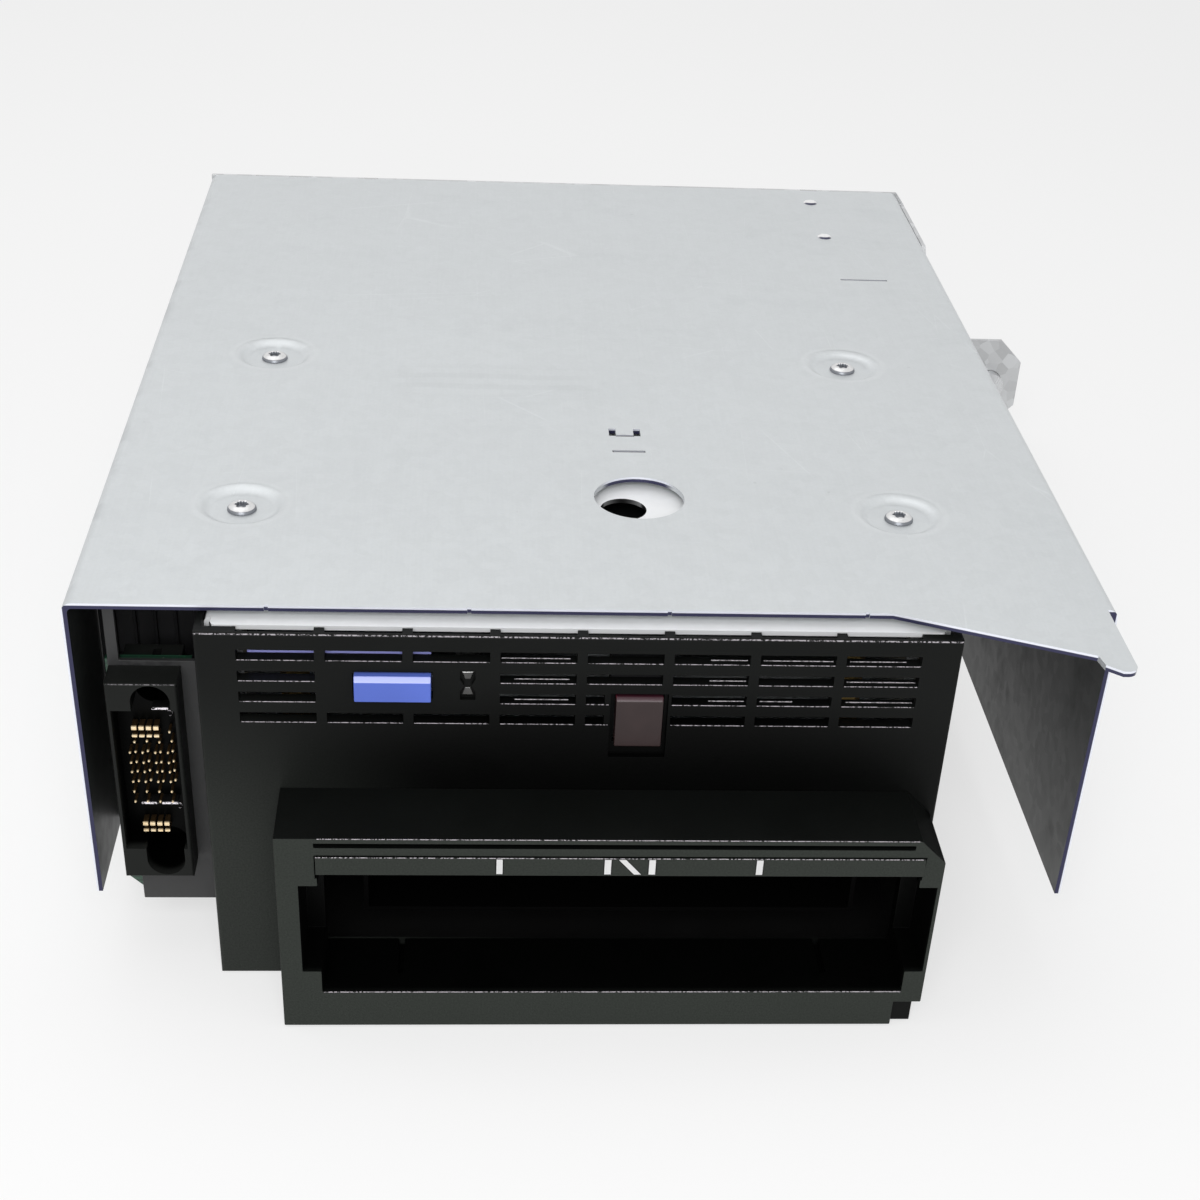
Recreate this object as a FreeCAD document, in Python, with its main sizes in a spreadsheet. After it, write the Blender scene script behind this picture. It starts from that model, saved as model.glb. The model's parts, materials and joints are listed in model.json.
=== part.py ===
import FreeCAD, Part
import math
import os
import Sketcher

# A full-height tape drive in the sheet-metal sled that carries it in a library.
# X runs across the front, Y runs from the front to the back, Z is up, in millimetres.
# The origin is on the drive's centreline, in the plane of the sled's front edge,
# at the height of the bezel's lower edge, on which the assembly stands.

SIZES = {
    # sled cover: one folded sheet over the drive
    "cover_left": 100.0,          # centreline to the left flange's outer face
    "cover_right": 107.0,         # centreline to the right flange's outer face
    "cover_depth": 254.0,
    "cover_top": 87.5,
    "flange_bottom": 17.5,
    "gauge": 1.2,
    "bend_inside": 1.0,
    "tongue_start": 61.0,         # where the front edge starts to slant forward
    "tongue_setback": 0.2,        # from the right bend to the tongue's side
    "tongue_reach": 20.6,
    "relief_depth": 2.5,          # notch between the tongue and the right bend
    "dish_radius": 9.5,
    "dish_floor": 6.5,
    "access_radius": 9.75,
    "access_x": 14.2,
    "access_y": 48.0,
    "rivet_x": 78.8,
    "rivet_front": 213.6,
    "rivet_back": 243.0,
    "rivet_radius": 1.6,
    "edge_mark": 0.8,             # small punch marks along the front edge
    "edge_mark_x": -61.0,
    "edge_mark_pitch": 39.0,
    # drive envelope and its standard mounting holes
    "drive_width": 146.05,
    "drive_depth": 202.0,
    "drive_height": 82.6,
    "drive_top": 84.8,
    "drive_skin": 1.0,
    "lip_reach": 2.7,
    "lip_inset": 1.5,
    "screw_across": 139.7,
    "screw_along": 79.25,
    "screw_setback": 42.5,
    "screw_radius": 1.5,
    "screw_head": 3.6,
    "side_hole_drop": 10.0,
    # bezel
    "bezel_width": 149.0,
    "bezel_height": 84.8,
    "bezel_face": 6.0,            # how far its front stands ahead of the sled's edge
    "bezel_wall": 2.8,
    "bezel_depth": 13.0,
    "vent_pitch": 16.9,
    "vent_web": 2.0,
    "vent_height": 2.2,
    "vent_row": 4.75,
    "vent_first": 80.1,           # height of the middle of the top row
    "button_x": -36.75,
    "button_z": 73.5,
    "button_width": 14.9,
    "button_height": 5.4,
    "button_proud": 2.0,
    "button_travel": 1.5,
    "light_x": -22.2,
    "light_z": 73.6,
    "light_pitch": 4.0,
    "light_radius": 0.9,
    "window_x": 11.6,
    "window_z": 64.5,
    "window_width": 11.4,
    "window_height": 15.0,
    # cartridge and the mouth in front of it
    "cartridge_x": 8.6,
    "cartridge_z": 26.25,
    "cartridge_width": 102.0,
    "cartridge_thick": 21.5,
    "mouth_left": 59.7,
    "mouth_right": 73.3,
    "mouth_top": 49.0,
    "mouth_bottom": 0.5,
    "mouth_reach": 17.2,
    "mouth_sill": 9.7,
    "mouth_lintel": 40.3,
    "mouth_side": 60.1,           # half the width of its opening
    "notch_depth": 3.8,
    "bar_height": 4.5,
    # hot-plug connector in the left bay
    "plug_x": -86.55,
    "plug_width": 14.2,
    "plug_bottom": 21.3,
    "plug_top": 69.3,
    "plug_depth": 7.0,
    "cavity_wall": 0.8,
    "cavity_bottom": 28.7,
    "cavity_top": 63.0,
    "guide_x": -84.9,
    "guide_low": 25.9,
    "guide_high": 65.0,
    "guide_radius": 3.9,
    "board_gauge": 1.6,
    # rear panel, fan and what is fixed there
    "ear_right": 154.9,
    "ear_bottom": 11.2,
    "ear_top": 40.8,
    "ear_corner": 7.4,
    "return_gap": 1.5,
    "return_reach": 41.0,
    "fan_x": 72.0,
    "fan_z": 47.0,
    "fan_size": 60.0,
    "fan_depth": 25.0,
    "fan_duct": 28.0,
    "fan_hub": 12.0,
    "fan_pin": 1.5,
    "fan_screw_pitch": 50.0,
    "fan_tip_gap": 2.2,
    "blade_count": 5,
    "blade_front": 4.5,
    "blade_back": 17.5,
    "blade_lean": 8.0,            # half the blade's rise along its turning direction
    "blade_curve": 22.0,
    "blade_gauge": 1.1,
    "thumb_x": 145.0,
    "thumb_z": 26.0,
    "thumb_knob": 6.0,
    "thumb_pin": 2.0,
    "thumb_neck": 1.7,
    "handle_x": -45.0,
    "handle_z": 22.0,
    "handle_span": 82.0,
    "handle_reach": 29.0,
    "handle_bar": 8.0,
    "port_x": -53.0,
    "port_z": 69.0,
    "port_width": 14.2,
    "port_height": 10.0,
    # mechanism
    "deck_z": 45.0,
    "deck_gauge": 3.0,
    "hub_y": 62.0,
    "reel_setback": 50.0,         # from the back of the drive to the reel's axis
    "reel_radius": 37.0,
    "reel_hub": 21.0,
    "spindle_radius": 2.5,
    "motor_radius": 21.0,
    "motor_height": 14.0,
    "clutch_radius": 16.0,
    "roller_radius": 6.0,
    "roller_rim": 7.5,
    "roller_height": 14.0,
    "post_radius": 1.5,
    "tray_front": -2.0,
    "tray_length": 98.0,
    "rail_front": 8.0,
    "tray_travel": 14.0,
    "tray_skin": 1.0,
    "gear_x": -58.0,
    "gear_y": 60.0,
    "gear_pitch": 9.0,
    "pinion_pitch": 4.0,
    "head_setback": 52.0,
    "head_travel": 3.0,
    "grabber_x": -34.0,
    "grabber_setback": 83.0,
    "grabber_travel": 56.0,
    # clearances
    "running_gap": 0.05,          # radial, shaft in bore
    "slide_gap": 0.3,
    "seat_gap": 0.1,
}

doc = FreeCAD.newDocument("tape_drive")
sheet = doc.addObject("Spreadsheet::Sheet", "sizes")
for row, (alias, value) in enumerate(SIZES.items(), start=1):
    sheet.set("A%d" % row, alias)
    sheet.set("B%d" % row, str(value))
    sheet.setAlias("B%d" % row, alias)
doc.recompute()


class Size:
    """A length that knows its number and the sheet formula that it comes from."""

    def __init__(self, number, formula):
        self.number = number
        self.formula = formula

    def __add__(self, other):
        other = size(other)
        return Size(self.number + other.number, "(%s + %s)" % (self.formula, other.formula))

    def __sub__(self, other):
        other = size(other)
        return Size(self.number - other.number, "(%s - %s)" % (self.formula, other.formula))

    def __mul__(self, other):
        other = size(other)
        return Size(self.number * other.number, "(%s * %s)" % (self.formula, other.formula))

    def __truediv__(self, other):
        other = size(other)
        return Size(self.number / other.number, "(%s / %s)" % (self.formula, other.formula))

    def __radd__(self, other):
        return size(other) + self

    def __rsub__(self, other):
        return size(other) - self

    def __rmul__(self, other):
        return size(other) * self

    def __neg__(self):
        return size(-1.0) * self


def size(value):
    """The value as a Size, whether it is one already or a plain number."""
    if isinstance(value, Size):
        return value
    return Size(float(value), "(%.6f)" % value)


class Cells:
    """The sheet's cells, each read as a Size under its own name."""

    def __getattr__(self, alias):
        return Size(SIZES[alias], "sizes." + alias)


s = Cells()
FLAT = "XY_Plane"                 # a sketch seen from above
FRONT = "XZ_Plane"                # a sketch seen from the front
SIDE = "YZ_Plane"                 # a sketch seen from the right
NORMAL = {FLAT: 1, FRONT: -1, SIDE: 1}
UPRIGHT = FreeCAD.Rotation()
REARWARD = FreeCAD.Rotation(FreeCAD.Vector(1, 0, 0), -90)
parts = {}


# ---------------------------------------------------------------- helpers

def bind(target, **values):
    """Give each property its number and tie it to its formula."""
    for name, value in values.items():
        value = size(value)
        setattr(target, name, value.number)
        target.setExpression(name, value.formula)


def place(target, x, y, z, turn=UPRIGHT):
    """Put an object at x, y, z, each tied to its formula."""
    corner = [size(value) for value in (x, y, z)]
    target.Placement = FreeCAD.Placement(FreeCAD.Vector(*[value.number for value in corner]), turn)
    for letter, value in zip("xyz", corner):
        target.setExpression(".Placement.Base." + letter, value.formula)


def keep(target, label):
    """Name a finished sub-part."""
    target.Label = label
    parts[label] = target
    return target


def body(label, x=0, y=0, z=0, turn=UPRIGHT):
    """An empty PartDesign body at its place."""
    part = doc.addObject("PartDesign::Body", label)
    place(part, x, y, z, turn)
    return keep(part, label)


def sketch_at(part, plane, height, shift=(0, 0)):
    """A sketch parallel to one of the body's own origin planes, at a height along the axis."""
    sketch = part.newObject("Sketcher::SketchObject", part.Name + "_sketch")
    origin_plane = next(item for item in part.Origin.OriginFeatures if item.Role == plane)
    sketch.AttachmentSupport = (origin_plane, [""])
    sketch.MapMode = "FlatFace"
    offset = [size(shift[0]), size(shift[1]), size(height) * NORMAL[plane]]
    sketch.AttachmentOffset = FreeCAD.Placement(
        FreeCAD.Vector(*[value.number for value in offset]), FreeCAD.Rotation())
    for letter, value in zip("xyz", offset):
        sketch.setExpression(".AttachmentOffset.Base." + letter, value.formula)
    return sketch


def outline(corners):
    """A figure of straight lines through the corners."""
    corners = [(size(u), size(v)) for u, v in corners]

    def draw(sketch):
        first = sketch.GeometryCount
        points = [FreeCAD.Vector(u.number, v.number, 0) for u, v in corners]
        lines = [Part.LineSegment(a, b) for a, b in zip(points, points[1:] + points[:1])]
        sketch.addGeometry(lines, False)
        count = len(corners)
        joints = [Sketcher.Constraint("Coincident", first + index, 2, first + (index + 1) % count, 1)
                  for index in range(count)]
        sketch.addConstraint(joints)
        ties = []
        for index, (u, v) in enumerate(corners):
            ties.append(Sketcher.Constraint("DistanceX", -1, 1, first + index, 1, u.number))
            ties.append(Sketcher.Constraint("DistanceY", -1, 1, first + index, 1, v.number))
        names = sketch.addConstraint(ties)
        formulas = [value.formula for corner in corners for value in corner]
        for name, formula in zip(names, formulas):
            sketch.setExpression("Constraints[%d]" % name, formula)

    return draw


def rect(u, v):
    """A rectangle over the spans u and v."""
    return outline([(u[0], v[0]), (u[1], v[0]), (u[1], v[1]), (u[0], v[1])])


def disc(u, v, radius):
    """A circle."""
    u, v, radius = size(u), size(v), size(radius)

    def draw(sketch):
        circle = Part.Circle(FreeCAD.Vector(u.number, v.number, 0), FreeCAD.Vector(0, 0, 1), radius.number)
        index = sketch.addGeometry(circle, False)
        names = sketch.addConstraint([
            Sketcher.Constraint("DistanceX", -1, 1, index, 3, u.number),
            Sketcher.Constraint("DistanceY", -1, 1, index, 3, v.number),
            Sketcher.Constraint("Radius", index, radius.number)])
        for name, value in zip(names, (u, v, radius)):
            sketch.setExpression("Constraints[%d]" % name, value.formula)

    return draw


def polygon(count, radius, turn=0.0, u=0, v=0):
    """A regular polygon about u, v, with its first corner at the angle turn."""
    corners = []
    for index in range(count):
        angle = math.radians(turn + 360.0 * index / count)
        corners.append((u + size(radius) * math.cos(angle), v + size(radius) * math.sin(angle)))
    return outline(corners)


def middle(centre, width):
    """The span of the given width about a centre."""
    return (centre - size(width) / 2, centre + size(width) / 2)


def pad(part, plane, span, *figures, shift=(0, 0)):
    """Add material between the two heights of span."""
    sketch = sketch_at(part, plane, span[0], shift)
    for figure in figures:
        figure(sketch)
    feature = part.newObject("PartDesign::Pad", part.Name + "_pad")
    feature.Profile = sketch
    bind(feature, Length=size(span[1]) - span[0])
    feature.Reversed = NORMAL[plane] < 0
    return feature


def pocket(part, plane, span, *figures, shift=(0, 0)):
    """Take material away between the two heights of span."""
    sketch = sketch_at(part, plane, span[0], shift)
    for figure in figures:
        figure(sketch)
    feature = part.newObject("PartDesign::Pocket", part.Name + "_pocket")
    feature.Profile = sketch
    bind(feature, Length=size(span[1]) - span[0])
    feature.Reversed = NORMAL[plane] > 0
    return feature


def turn_about(part, kind, profile, shift=(0, 0), height=0):
    """Revolve or groove a half profile, given as radius and height, about an upright axis."""
    sketch = sketch_at(part, FRONT, height, shift)
    outline(profile)(sketch)
    feature = part.newObject("PartDesign::" + kind, part.Name + "_" + kind.lower())
    feature.Profile = sketch
    feature.ReferenceAxis = (sketch, ["V_Axis"])
    feature.Angle = 360
    return feature


def turned(label, profile, x=0, y=0, z=0, turn=UPRIGHT):
    """A turned piece: its half profile revolved about its own axis."""
    part = body(label, x, y, z, turn)
    turn_about(part, "Revolution", profile)
    return part


def polar(part, feature, count):
    """Repeat a feature about the normal through its sketch's own origin."""
    pattern = part.newObject("PartDesign::PolarPattern", part.Name + "_polar")
    pattern.Originals = [feature]
    pattern.Axis = (feature.Profile[0], ["N_Axis"])
    pattern.Angle = 360
    pattern.Occurrences = count
    part.Tip = pattern
    return pattern


def dress(part, kind, amount, points):
    """Fillet or chamfer the edges that pass closest to the given points."""
    doc.recompute()
    base = part.Tip
    names = []
    for point in points:
        vertex = Part.Vertex(*[size(value).number for value in point])
        gaps = [edge.distToShape(vertex)[0] for edge in base.Shape.Edges]
        names.append("Edge%d" % (gaps.index(min(gaps)) + 1))
    feature = part.newObject("PartDesign::" + kind, part.Name + "_" + kind.lower())
    feature.Base = (base, sorted(set(names)))
    bind(feature, **{"Radius" if kind == "Fillet" else "Size": amount})
    return feature


def block(name, x, y, z):
    """A plain block over three spans."""
    piece = doc.addObject("Part::Box", name)
    bind(piece, Length=size(x[1]) - x[0], Width=size(y[1]) - y[0], Height=size(z[1]) - z[0])
    place(piece, x[0], y[0], z[0])
    return piece


def rod(name, x, y, z, radius, length, turn=UPRIGHT):
    """A round bar that starts at x, y, z."""
    piece = doc.addObject("Part::Cylinder", name)
    bind(piece, Radius=radius, Height=length)
    place(piece, x, y, z, turn)
    return piece


def joined(name, *pieces):
    """Pieces fused into one solid."""
    fusion = doc.addObject("Part::MultiFuse", name)
    fusion.Shapes = list(pieces)
    fusion.Refine = True
    return fusion


def without(name, base, *tools):
    """A base with the tools cut out of it."""
    tool = tools[0] if len(tools) == 1 else joined(name + "_tools", *tools)
    cut = doc.addObject("Part::Cut", name)
    cut.Base = base
    cut.Tool = tool
    cut.Refine = True
    return cut


def group(label, pieces):
    """Separate solids kept under one name, such as a set of screws."""
    bundle = doc.addObject("Part::Compound", label)
    bundle.Links = pieces
    return keep(bundle, label)


# ---------------------------------------------------------------- shared places

under = s.cover_top - s.gauge
left = -s.cover_left
right = s.cover_right
drive_half = s.drive_width / 2
drive_bottom = s.drive_top - s.drive_height
drive_inner = drive_half - s.drive_skin
drive_roof = s.drive_top - s.drive_skin
drive_floor = drive_bottom + s.drive_skin
screw_places = [(side * s.screw_across / 2, s.screw_setback + along * s.screw_along)
                for side in (-1, 1) for along in (0, 1)]
panel = (s.cover_depth, s.cover_depth + s.gauge)
face = -s.bezel_face
behind_bezel = s.bezel_wall - s.bezel_face
mouth_front = face - s.mouth_reach
mouth_span = (s.cartridge_x - s.mouth_side, s.cartridge_x + s.mouth_side)
deck_top = s.deck_z + s.deck_gauge
tongue_side = right - s.gauge - s.bend_inside - s.tongue_setback
reel_y = s.drive_depth - s.reel_setback
head_y = s.drive_depth - s.head_setback
grabber_y = s.drive_depth - s.grabber_setback
board_z = (drive_roof - 5.2, drive_roof - 5.2 + s.board_gauge)
cartridge_span = middle(s.cartridge_x, s.cartridge_width)
cartridge_height = middle(s.cartridge_z, s.cartridge_thick)


# ---------------------------------------------------------------- sled

def standoff(name, x, y, span):
    """A hexagonal standoff under or over a circuit board."""
    post = doc.addObject("PartDesign::Body", name)
    place(post, x, y, 0)
    pad(post, FLAT, span, polygon(6, 3.0))
    return post


def fastener(name, x, y, z, shank, deep, head, high, turn=UPRIGHT):
    """A headed fastener: a plain shank inside its hole, under a round head that stands on z."""
    piece = doc.addObject("PartDesign::Body", name)
    place(piece, x, y, z, turn)
    pad(piece, FLAT, (-size(deep), 0), polygon(8, shank))
    pad(piece, FLAT, (0, high), disc(0, 0, head))
    return piece


def sled_cover():
    """The folded cover: a channel, a tongue that slants forward, and dished screw seats."""
    part = body("sled_cover")
    inner_left = left + s.gauge
    inner_right = right - s.gauge
    pad(part, FRONT, (0, s.cover_depth), outline([
        (left, s.flange_bottom), (left, s.cover_top), (right, s.cover_top), (right, s.flange_bottom),
        (inner_right, s.flange_bottom), (inner_right, under), (inner_left, under),
        (inner_left, s.flange_bottom)]))
    half_way = s.cover_depth / 2
    dress(part, "Fillet", s.bend_inside + s.gauge,
          [(left, half_way, s.cover_top), (right, half_way, s.cover_top)])
    dress(part, "Fillet", s.bend_inside, [(inner_left, half_way, under), (inner_right, half_way, under)])
    reach = -s.tongue_reach
    step = tongue_side - 6.6
    pad(part, FLAT, (under, s.cover_top), outline([
        (s.tongue_start, 0), (step, reach + 5.6), (step + 0.6, reach + 2.3), (step + 3.5, reach),
        (tongue_side, reach), (tongue_side, s.gauge), (s.tongue_start, s.gauge)]))
    dress(part, "Fillet", 2.2, [(tongue_side, reach, under + s.gauge / 2)])
    pocket(part, FLAT, (s.cover_top - 3 * s.gauge, s.cover_top),
           rect((tongue_side, right + s.gauge), (-s.gauge, s.relief_depth)))
    floor = s.drive_top + s.gauge
    for x, y in screw_places:
        turn_about(part, "Revolution", [
            (0, s.drive_top), (s.dish_floor, s.drive_top), (s.dish_radius, under),
            (s.dish_radius, under + s.gauge / 2), (0, under + s.gauge / 2)], (x, 0), y)
        hole = s.screw_radius + s.slide_gap
        turn_about(part, "Groove", [
            (0, s.drive_top - s.gauge), (hole, s.drive_top - s.gauge), (hole, floor),
            (s.dish_floor, floor), (s.dish_radius, s.cover_top), (s.dish_radius, s.cover_top + s.gauge),
            (0, s.cover_top + s.gauge)], (x, 0), y)
    through = (under - s.gauge, s.cover_top + s.gauge)
    rivet_hole = s.rivet_radius + s.running_gap
    pocket(part, FLAT, through, disc(s.access_x, s.access_y, s.access_radius),
           disc(s.rivet_x, s.rivet_front, rivet_hole), disc(s.rivet_x, s.rivet_back, rivet_hole))
    lance_x = s.access_x - 1.2
    lance_y = s.access_y + 31.0
    pocket(part, FLAT, through, outline([
        (lance_x - 3.6, lance_y - 0.5), (lance_x + 3.6, lance_y - 0.5), (lance_x + 3.6, lance_y + 3.3),
        (lance_x + 2.0, lance_y + 3.3), (lance_x + 2.0, lance_y + 0.1), (lance_x - 2.0, lance_y + 0.1),
        (lance_x - 2.0, lance_y + 3.3), (lance_x - 3.6, lance_y + 3.3)]))
    marks = [rect(middle(s.edge_mark_x + index * s.edge_mark_pitch, s.edge_mark), (-s.gauge, s.edge_mark / 2))
             for index in range(4)]
    pocket(part, FLAT, through, *marks)
    pocket(part, FLAT, through, rect(middle(lance_x + 0.4, 7.0), middle(lance_y - 8.5, 0.6)))
    pocket(part, FLAT, through, rect(middle(s.rivet_x + 5.9, 12.6), middle(s.rivet_front - 33.6, 0.6)))
    return part


def cover_screws():
    """Four low-headed screws through the dishes into the drive's mounting holes."""
    floor = s.drive_top + s.gauge
    group("cover_screws", [
        fastener("cover_screw_%d" % (index + 1), x, y, floor, s.screw_radius - s.running_gap, 7.0,
                 s.screw_head, 1.4)
        for index, (x, y) in enumerate(screw_places)])


def panel_rivets():
    """Two rivets that hold the rear panel's tab under the cover."""
    group("panel_rivets", [
        fastener("panel_rivet_%d" % (index + 1), s.rivet_x, y, s.cover_top, s.rivet_radius, 2 * s.gauge + 0.9,
                 s.rivet_radius * 1.4, 0.5)
        for index, y in enumerate((s.rivet_front, s.rivet_back))])


def rear_panel():
    """The panel across the back, with its ear, folds, fan grille and openings."""
    part = body("rear_panel")
    fold = right + s.return_gap + s.gauge
    cut = s.ear_corner
    pad(part, FRONT, panel, outline([
        (left, 0), (fold, 0), (fold, s.ear_bottom), (s.ear_right - cut, s.ear_bottom),
        (s.ear_right, s.ear_bottom + cut), (s.ear_right, s.ear_top - cut),
        (s.ear_right - cut, s.ear_top), (fold, s.ear_top), (fold, s.cover_top - 3.5),
        (right, s.cover_top), (left, s.cover_top)]))
    front = panel[1] - s.return_reach
    pad(part, SIDE, (fold - s.gauge, fold), outline([
        (front, s.ear_top + 9), (front + 6, s.ear_top + 3), (panel[1], s.ear_top + 3),
        (panel[1], s.cover_top - 3.5), (front + 4, s.cover_top - 3.5), (front, s.cover_top - 7.5)]))
    pad(part, FLAT, (0, s.gauge), rect((left + s.gauge, right - s.gauge), (s.cover_depth - 16, panel[1])))
    pad(part, FLAT, (under - s.gauge, under),
        rect(middle(s.rivet_x, 18.0), (s.rivet_front - 6, panel[1])))
    tab = (s.flange_bottom + 8, s.cover_top - 14)
    pad(part, SIDE, (left + s.gauge, left + 2 * s.gauge), rect((s.cover_depth - 14, panel[1]), tab))
    rivet_hole = s.rivet_radius + s.running_gap
    pocket(part, FLAT, (under - 2 * s.gauge, under + s.gauge / 2),
           disc(s.rivet_x, s.rivet_front, rivet_hole), disc(s.rivet_x, s.rivet_back, rivet_hole))
    through = (s.cover_depth - s.gauge, panel[1] + s.gauge)
    fan_centre = (s.fan_x, s.fan_z)
    rings = [disc(0, 0, radius) for radius in (9.0, 15.0, 17.5, 23.5)]
    pocket(part, FRONT, through, *rings, shift=fan_centre)
    spoke = pad(part, FRONT, panel, rect((8.0, 24.5), (-1.2, 1.2)), shift=fan_centre)
    polar(part, spoke, 5)
    corner = s.fan_screw_pitch / 2
    screw = pocket(part, FRONT, through, disc(corner, corner, 1.7), shift=fan_centre)
    polar(part, screw, 4)
    grip = s.handle_span / 2 - s.handle_bar / 2
    pocket(part, FRONT, through,
           rect(middle(s.port_x, s.port_width + 0.6), middle(s.port_z, s.port_height + 0.6)),
           disc(s.thumb_x, s.thumb_z, 4.5 + s.seat_gap), disc(s.port_x - 22, s.port_z, 1.6),
           disc(s.handle_x - grip, s.handle_z, 1.7), disc(s.handle_x + grip, s.handle_z, 1.7))
    return part


def thumbscrew_and_ferrule():
    """The captive screw that locks the sled, in a ferrule pressed into the ear."""
    bore = s.thumb_neck + s.running_gap
    turned("thumbscrew_ferrule", [
        (bore, -3), (4.5, -3), (4.5, s.gauge), (5.5, s.gauge), (5.5, s.gauge + 2.5), (bore, s.gauge + 2.5)],
        s.thumb_x, s.cover_depth, s.thumb_z, REARWARD)
    knob_start = s.gauge + 2.5 + s.slide_gap
    turned("thumbscrew", [
        (0, -18), (s.thumb_pin, -18), (s.thumb_pin, -4), (s.thumb_neck, -4), (s.thumb_neck, knob_start),
        (s.thumb_knob, knob_start), (s.thumb_knob, knob_start + 11), (0, knob_start + 11)],
        s.thumb_x, s.cover_depth, s.thumb_z, REARWARD)


def pull_handle():
    """A moulded bow handle, with a foot at each end."""
    part = body("pull_handle")
    outer = middle(s.handle_x, s.handle_span)
    back = panel[1] + s.handle_reach
    pad(part, FLAT, middle(s.handle_z, s.handle_bar), outline([
        (outer[0], panel[1]), (outer[0], back), (outer[1], back), (outer[1], panel[1]),
        (outer[1] - s.handle_bar, panel[1]), (outer[1] - s.handle_bar, back - s.handle_bar),
        (outer[0] + s.handle_bar, back - s.handle_bar), (outer[0] + s.handle_bar, panel[1])]))
    dress(part, "Fillet", 9.0, [(outer[0], back, s.handle_z), (outer[1], back, s.handle_z)])
    dress(part, "Fillet", 4.0, [(outer[0] + s.handle_bar, back - s.handle_bar, s.handle_z),
                                (outer[1] - s.handle_bar, back - s.handle_bar, s.handle_z)])
    feet = [rect((outer[0] - 3, outer[0] + s.handle_bar + 3), middle(s.handle_z, s.handle_bar + 8)),
            rect((outer[1] - s.handle_bar - 3, outer[1] + 3), middle(s.handle_z, s.handle_bar + 8))]
    pad(part, FRONT, (panel[1], panel[1] + 3), *feet)
    return part


def fan_frame():
    """A square axial fan frame, with its duct, corner holes, struts and bearing hub."""
    half = s.fan_size / 2
    part = body("fan_frame", s.fan_x, s.cover_depth - s.fan_depth, s.fan_z)
    pad(part, FRONT, (0, s.fan_depth), rect((-half, half), (-half, half)))
    corners = [(x, s.fan_depth / 2, z) for x in (-half, half) for z in (-half, half)]
    dress(part, "Fillet", 4.0, corners)
    pocket(part, FRONT, (-1, s.fan_depth + 1), disc(0, 0, s.fan_duct))
    corner = s.fan_screw_pitch / 2
    screw = pocket(part, FRONT, (-1, s.fan_depth + 1), disc(corner, corner, 2.1))
    polar(part, screw, 4)
    strut = pad(part, FRONT, (s.fan_depth - 3.5, s.fan_depth), rect((6, s.fan_duct + 1), (-1.6, 1.6)))
    polar(part, strut, 3)
    pad(part, FRONT, (s.fan_depth - 4, s.fan_depth), disc(0, 0, s.fan_hub + 1.5))
    pocket(part, FRONT, (s.fan_depth - 5, s.fan_depth + 1), disc(0, 0, s.fan_pin + s.running_gap))
    return part


def blade_section(sketch):
    """A fan blade cut across: two arcs of one radius, a gauge apart, joined by straight edges."""
    front, back, lean, gauge = s.blade_front, s.blade_back, s.blade_lean, s.blade_gauge
    corners = [(front, -lean), (back, lean), (back + gauge, lean), (front + gauge, -lean)]
    points = [FreeCAD.Vector(u.number, v.number, 0) for u, v in corners]
    chord = points[1] - points[0]
    rise = math.sqrt(s.blade_curve.number ** 2 - chord.Length ** 2 / 4)
    centre = chord * 0.5 + FreeCAD.Vector(-chord.y, chord.x, 0) * (rise / chord.Length)
    first = math.atan2(-centre.y, -centre.x)
    last = math.atan2(chord.y - centre.y, chord.x - centre.x)
    curves = []
    for point in (points[0], points[3]):
        circle = Part.Circle(point + centre, FreeCAD.Vector(0, 0, 1), s.blade_curve.number)
        curves.append(Part.ArcOfCircle(circle, first, last))
    sketch.addGeometry([curves[0], Part.LineSegment(points[1], points[2]), curves[1],
                        Part.LineSegment(points[3], points[0])], False)
    sketch.addConstraint([
        Sketcher.Constraint("Coincident", 0, 2, 1, 1), Sketcher.Constraint("Coincident", 1, 2, 2, 2),
        Sketcher.Constraint("Coincident", 2, 1, 3, 1), Sketcher.Constraint("Coincident", 3, 2, 0, 1)])
    for (index, end), (u, v) in zip(((0, 1), (1, 1), (1, 2), (3, 1)), corners):
        names = sketch.addConstraint([Sketcher.Constraint("DistanceX", -1, 1, index, end, u.number),
                                      Sketcher.Constraint("DistanceY", -1, 1, index, end, v.number)])
        for name, value in zip(names, (u, v)):
            sketch.setExpression("Constraints[%d]" % name, value.formula)
    names = sketch.addConstraint([Sketcher.Constraint("Radius", index, s.blade_curve.number)
                                  for index in (0, 2)])
    for name in names:
        sketch.setExpression("Constraints[%d]" % name, s.blade_curve.formula)


def fan_rotor():
    """The rotor: a cup-shaped hub on its pin, with curved and leaning blades."""
    part = body("fan_rotor", s.fan_x, s.cover_depth - s.fan_depth, s.fan_z)
    hub_back = s.fan_depth - 4 - s.slide_gap
    pad(part, FRONT, (2, hub_back), disc(0, 0, s.fan_hub))
    pad(part, FRONT, (hub_back - 1, s.fan_depth - 0.5), disc(0, 0, s.fan_pin))
    blade = pad(part, SIDE, (s.fan_hub - 1, s.fan_duct - s.fan_tip_gap), blade_section)
    pattern = part.newObject("PartDesign::PolarPattern", "fan_blades")
    pattern.Originals = [blade]
    y_axis = next(item for item in part.Origin.OriginFeatures if item.Role == "Y_Axis")
    pattern.Axis = (y_axis, [""])
    pattern.Angle = 360
    pattern.Occurrences = SIZES["blade_count"]
    part.Tip = pattern
    return part


def fan_screws():
    """Four screws from the rear panel into the fan frame's corners."""
    half = s.fan_screw_pitch / 2
    group("fan_screws", [
        fastener("fan_screw_%d" % (index + 1), s.fan_x + side * half, panel[1], s.fan_z + lift * half,
                 1.6, 10.0, 3.0, 1.6, REARWARD)
        for index, (side, lift) in enumerate(((-1, -1), (1, -1), (-1, 1), (1, 1)))])


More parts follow.
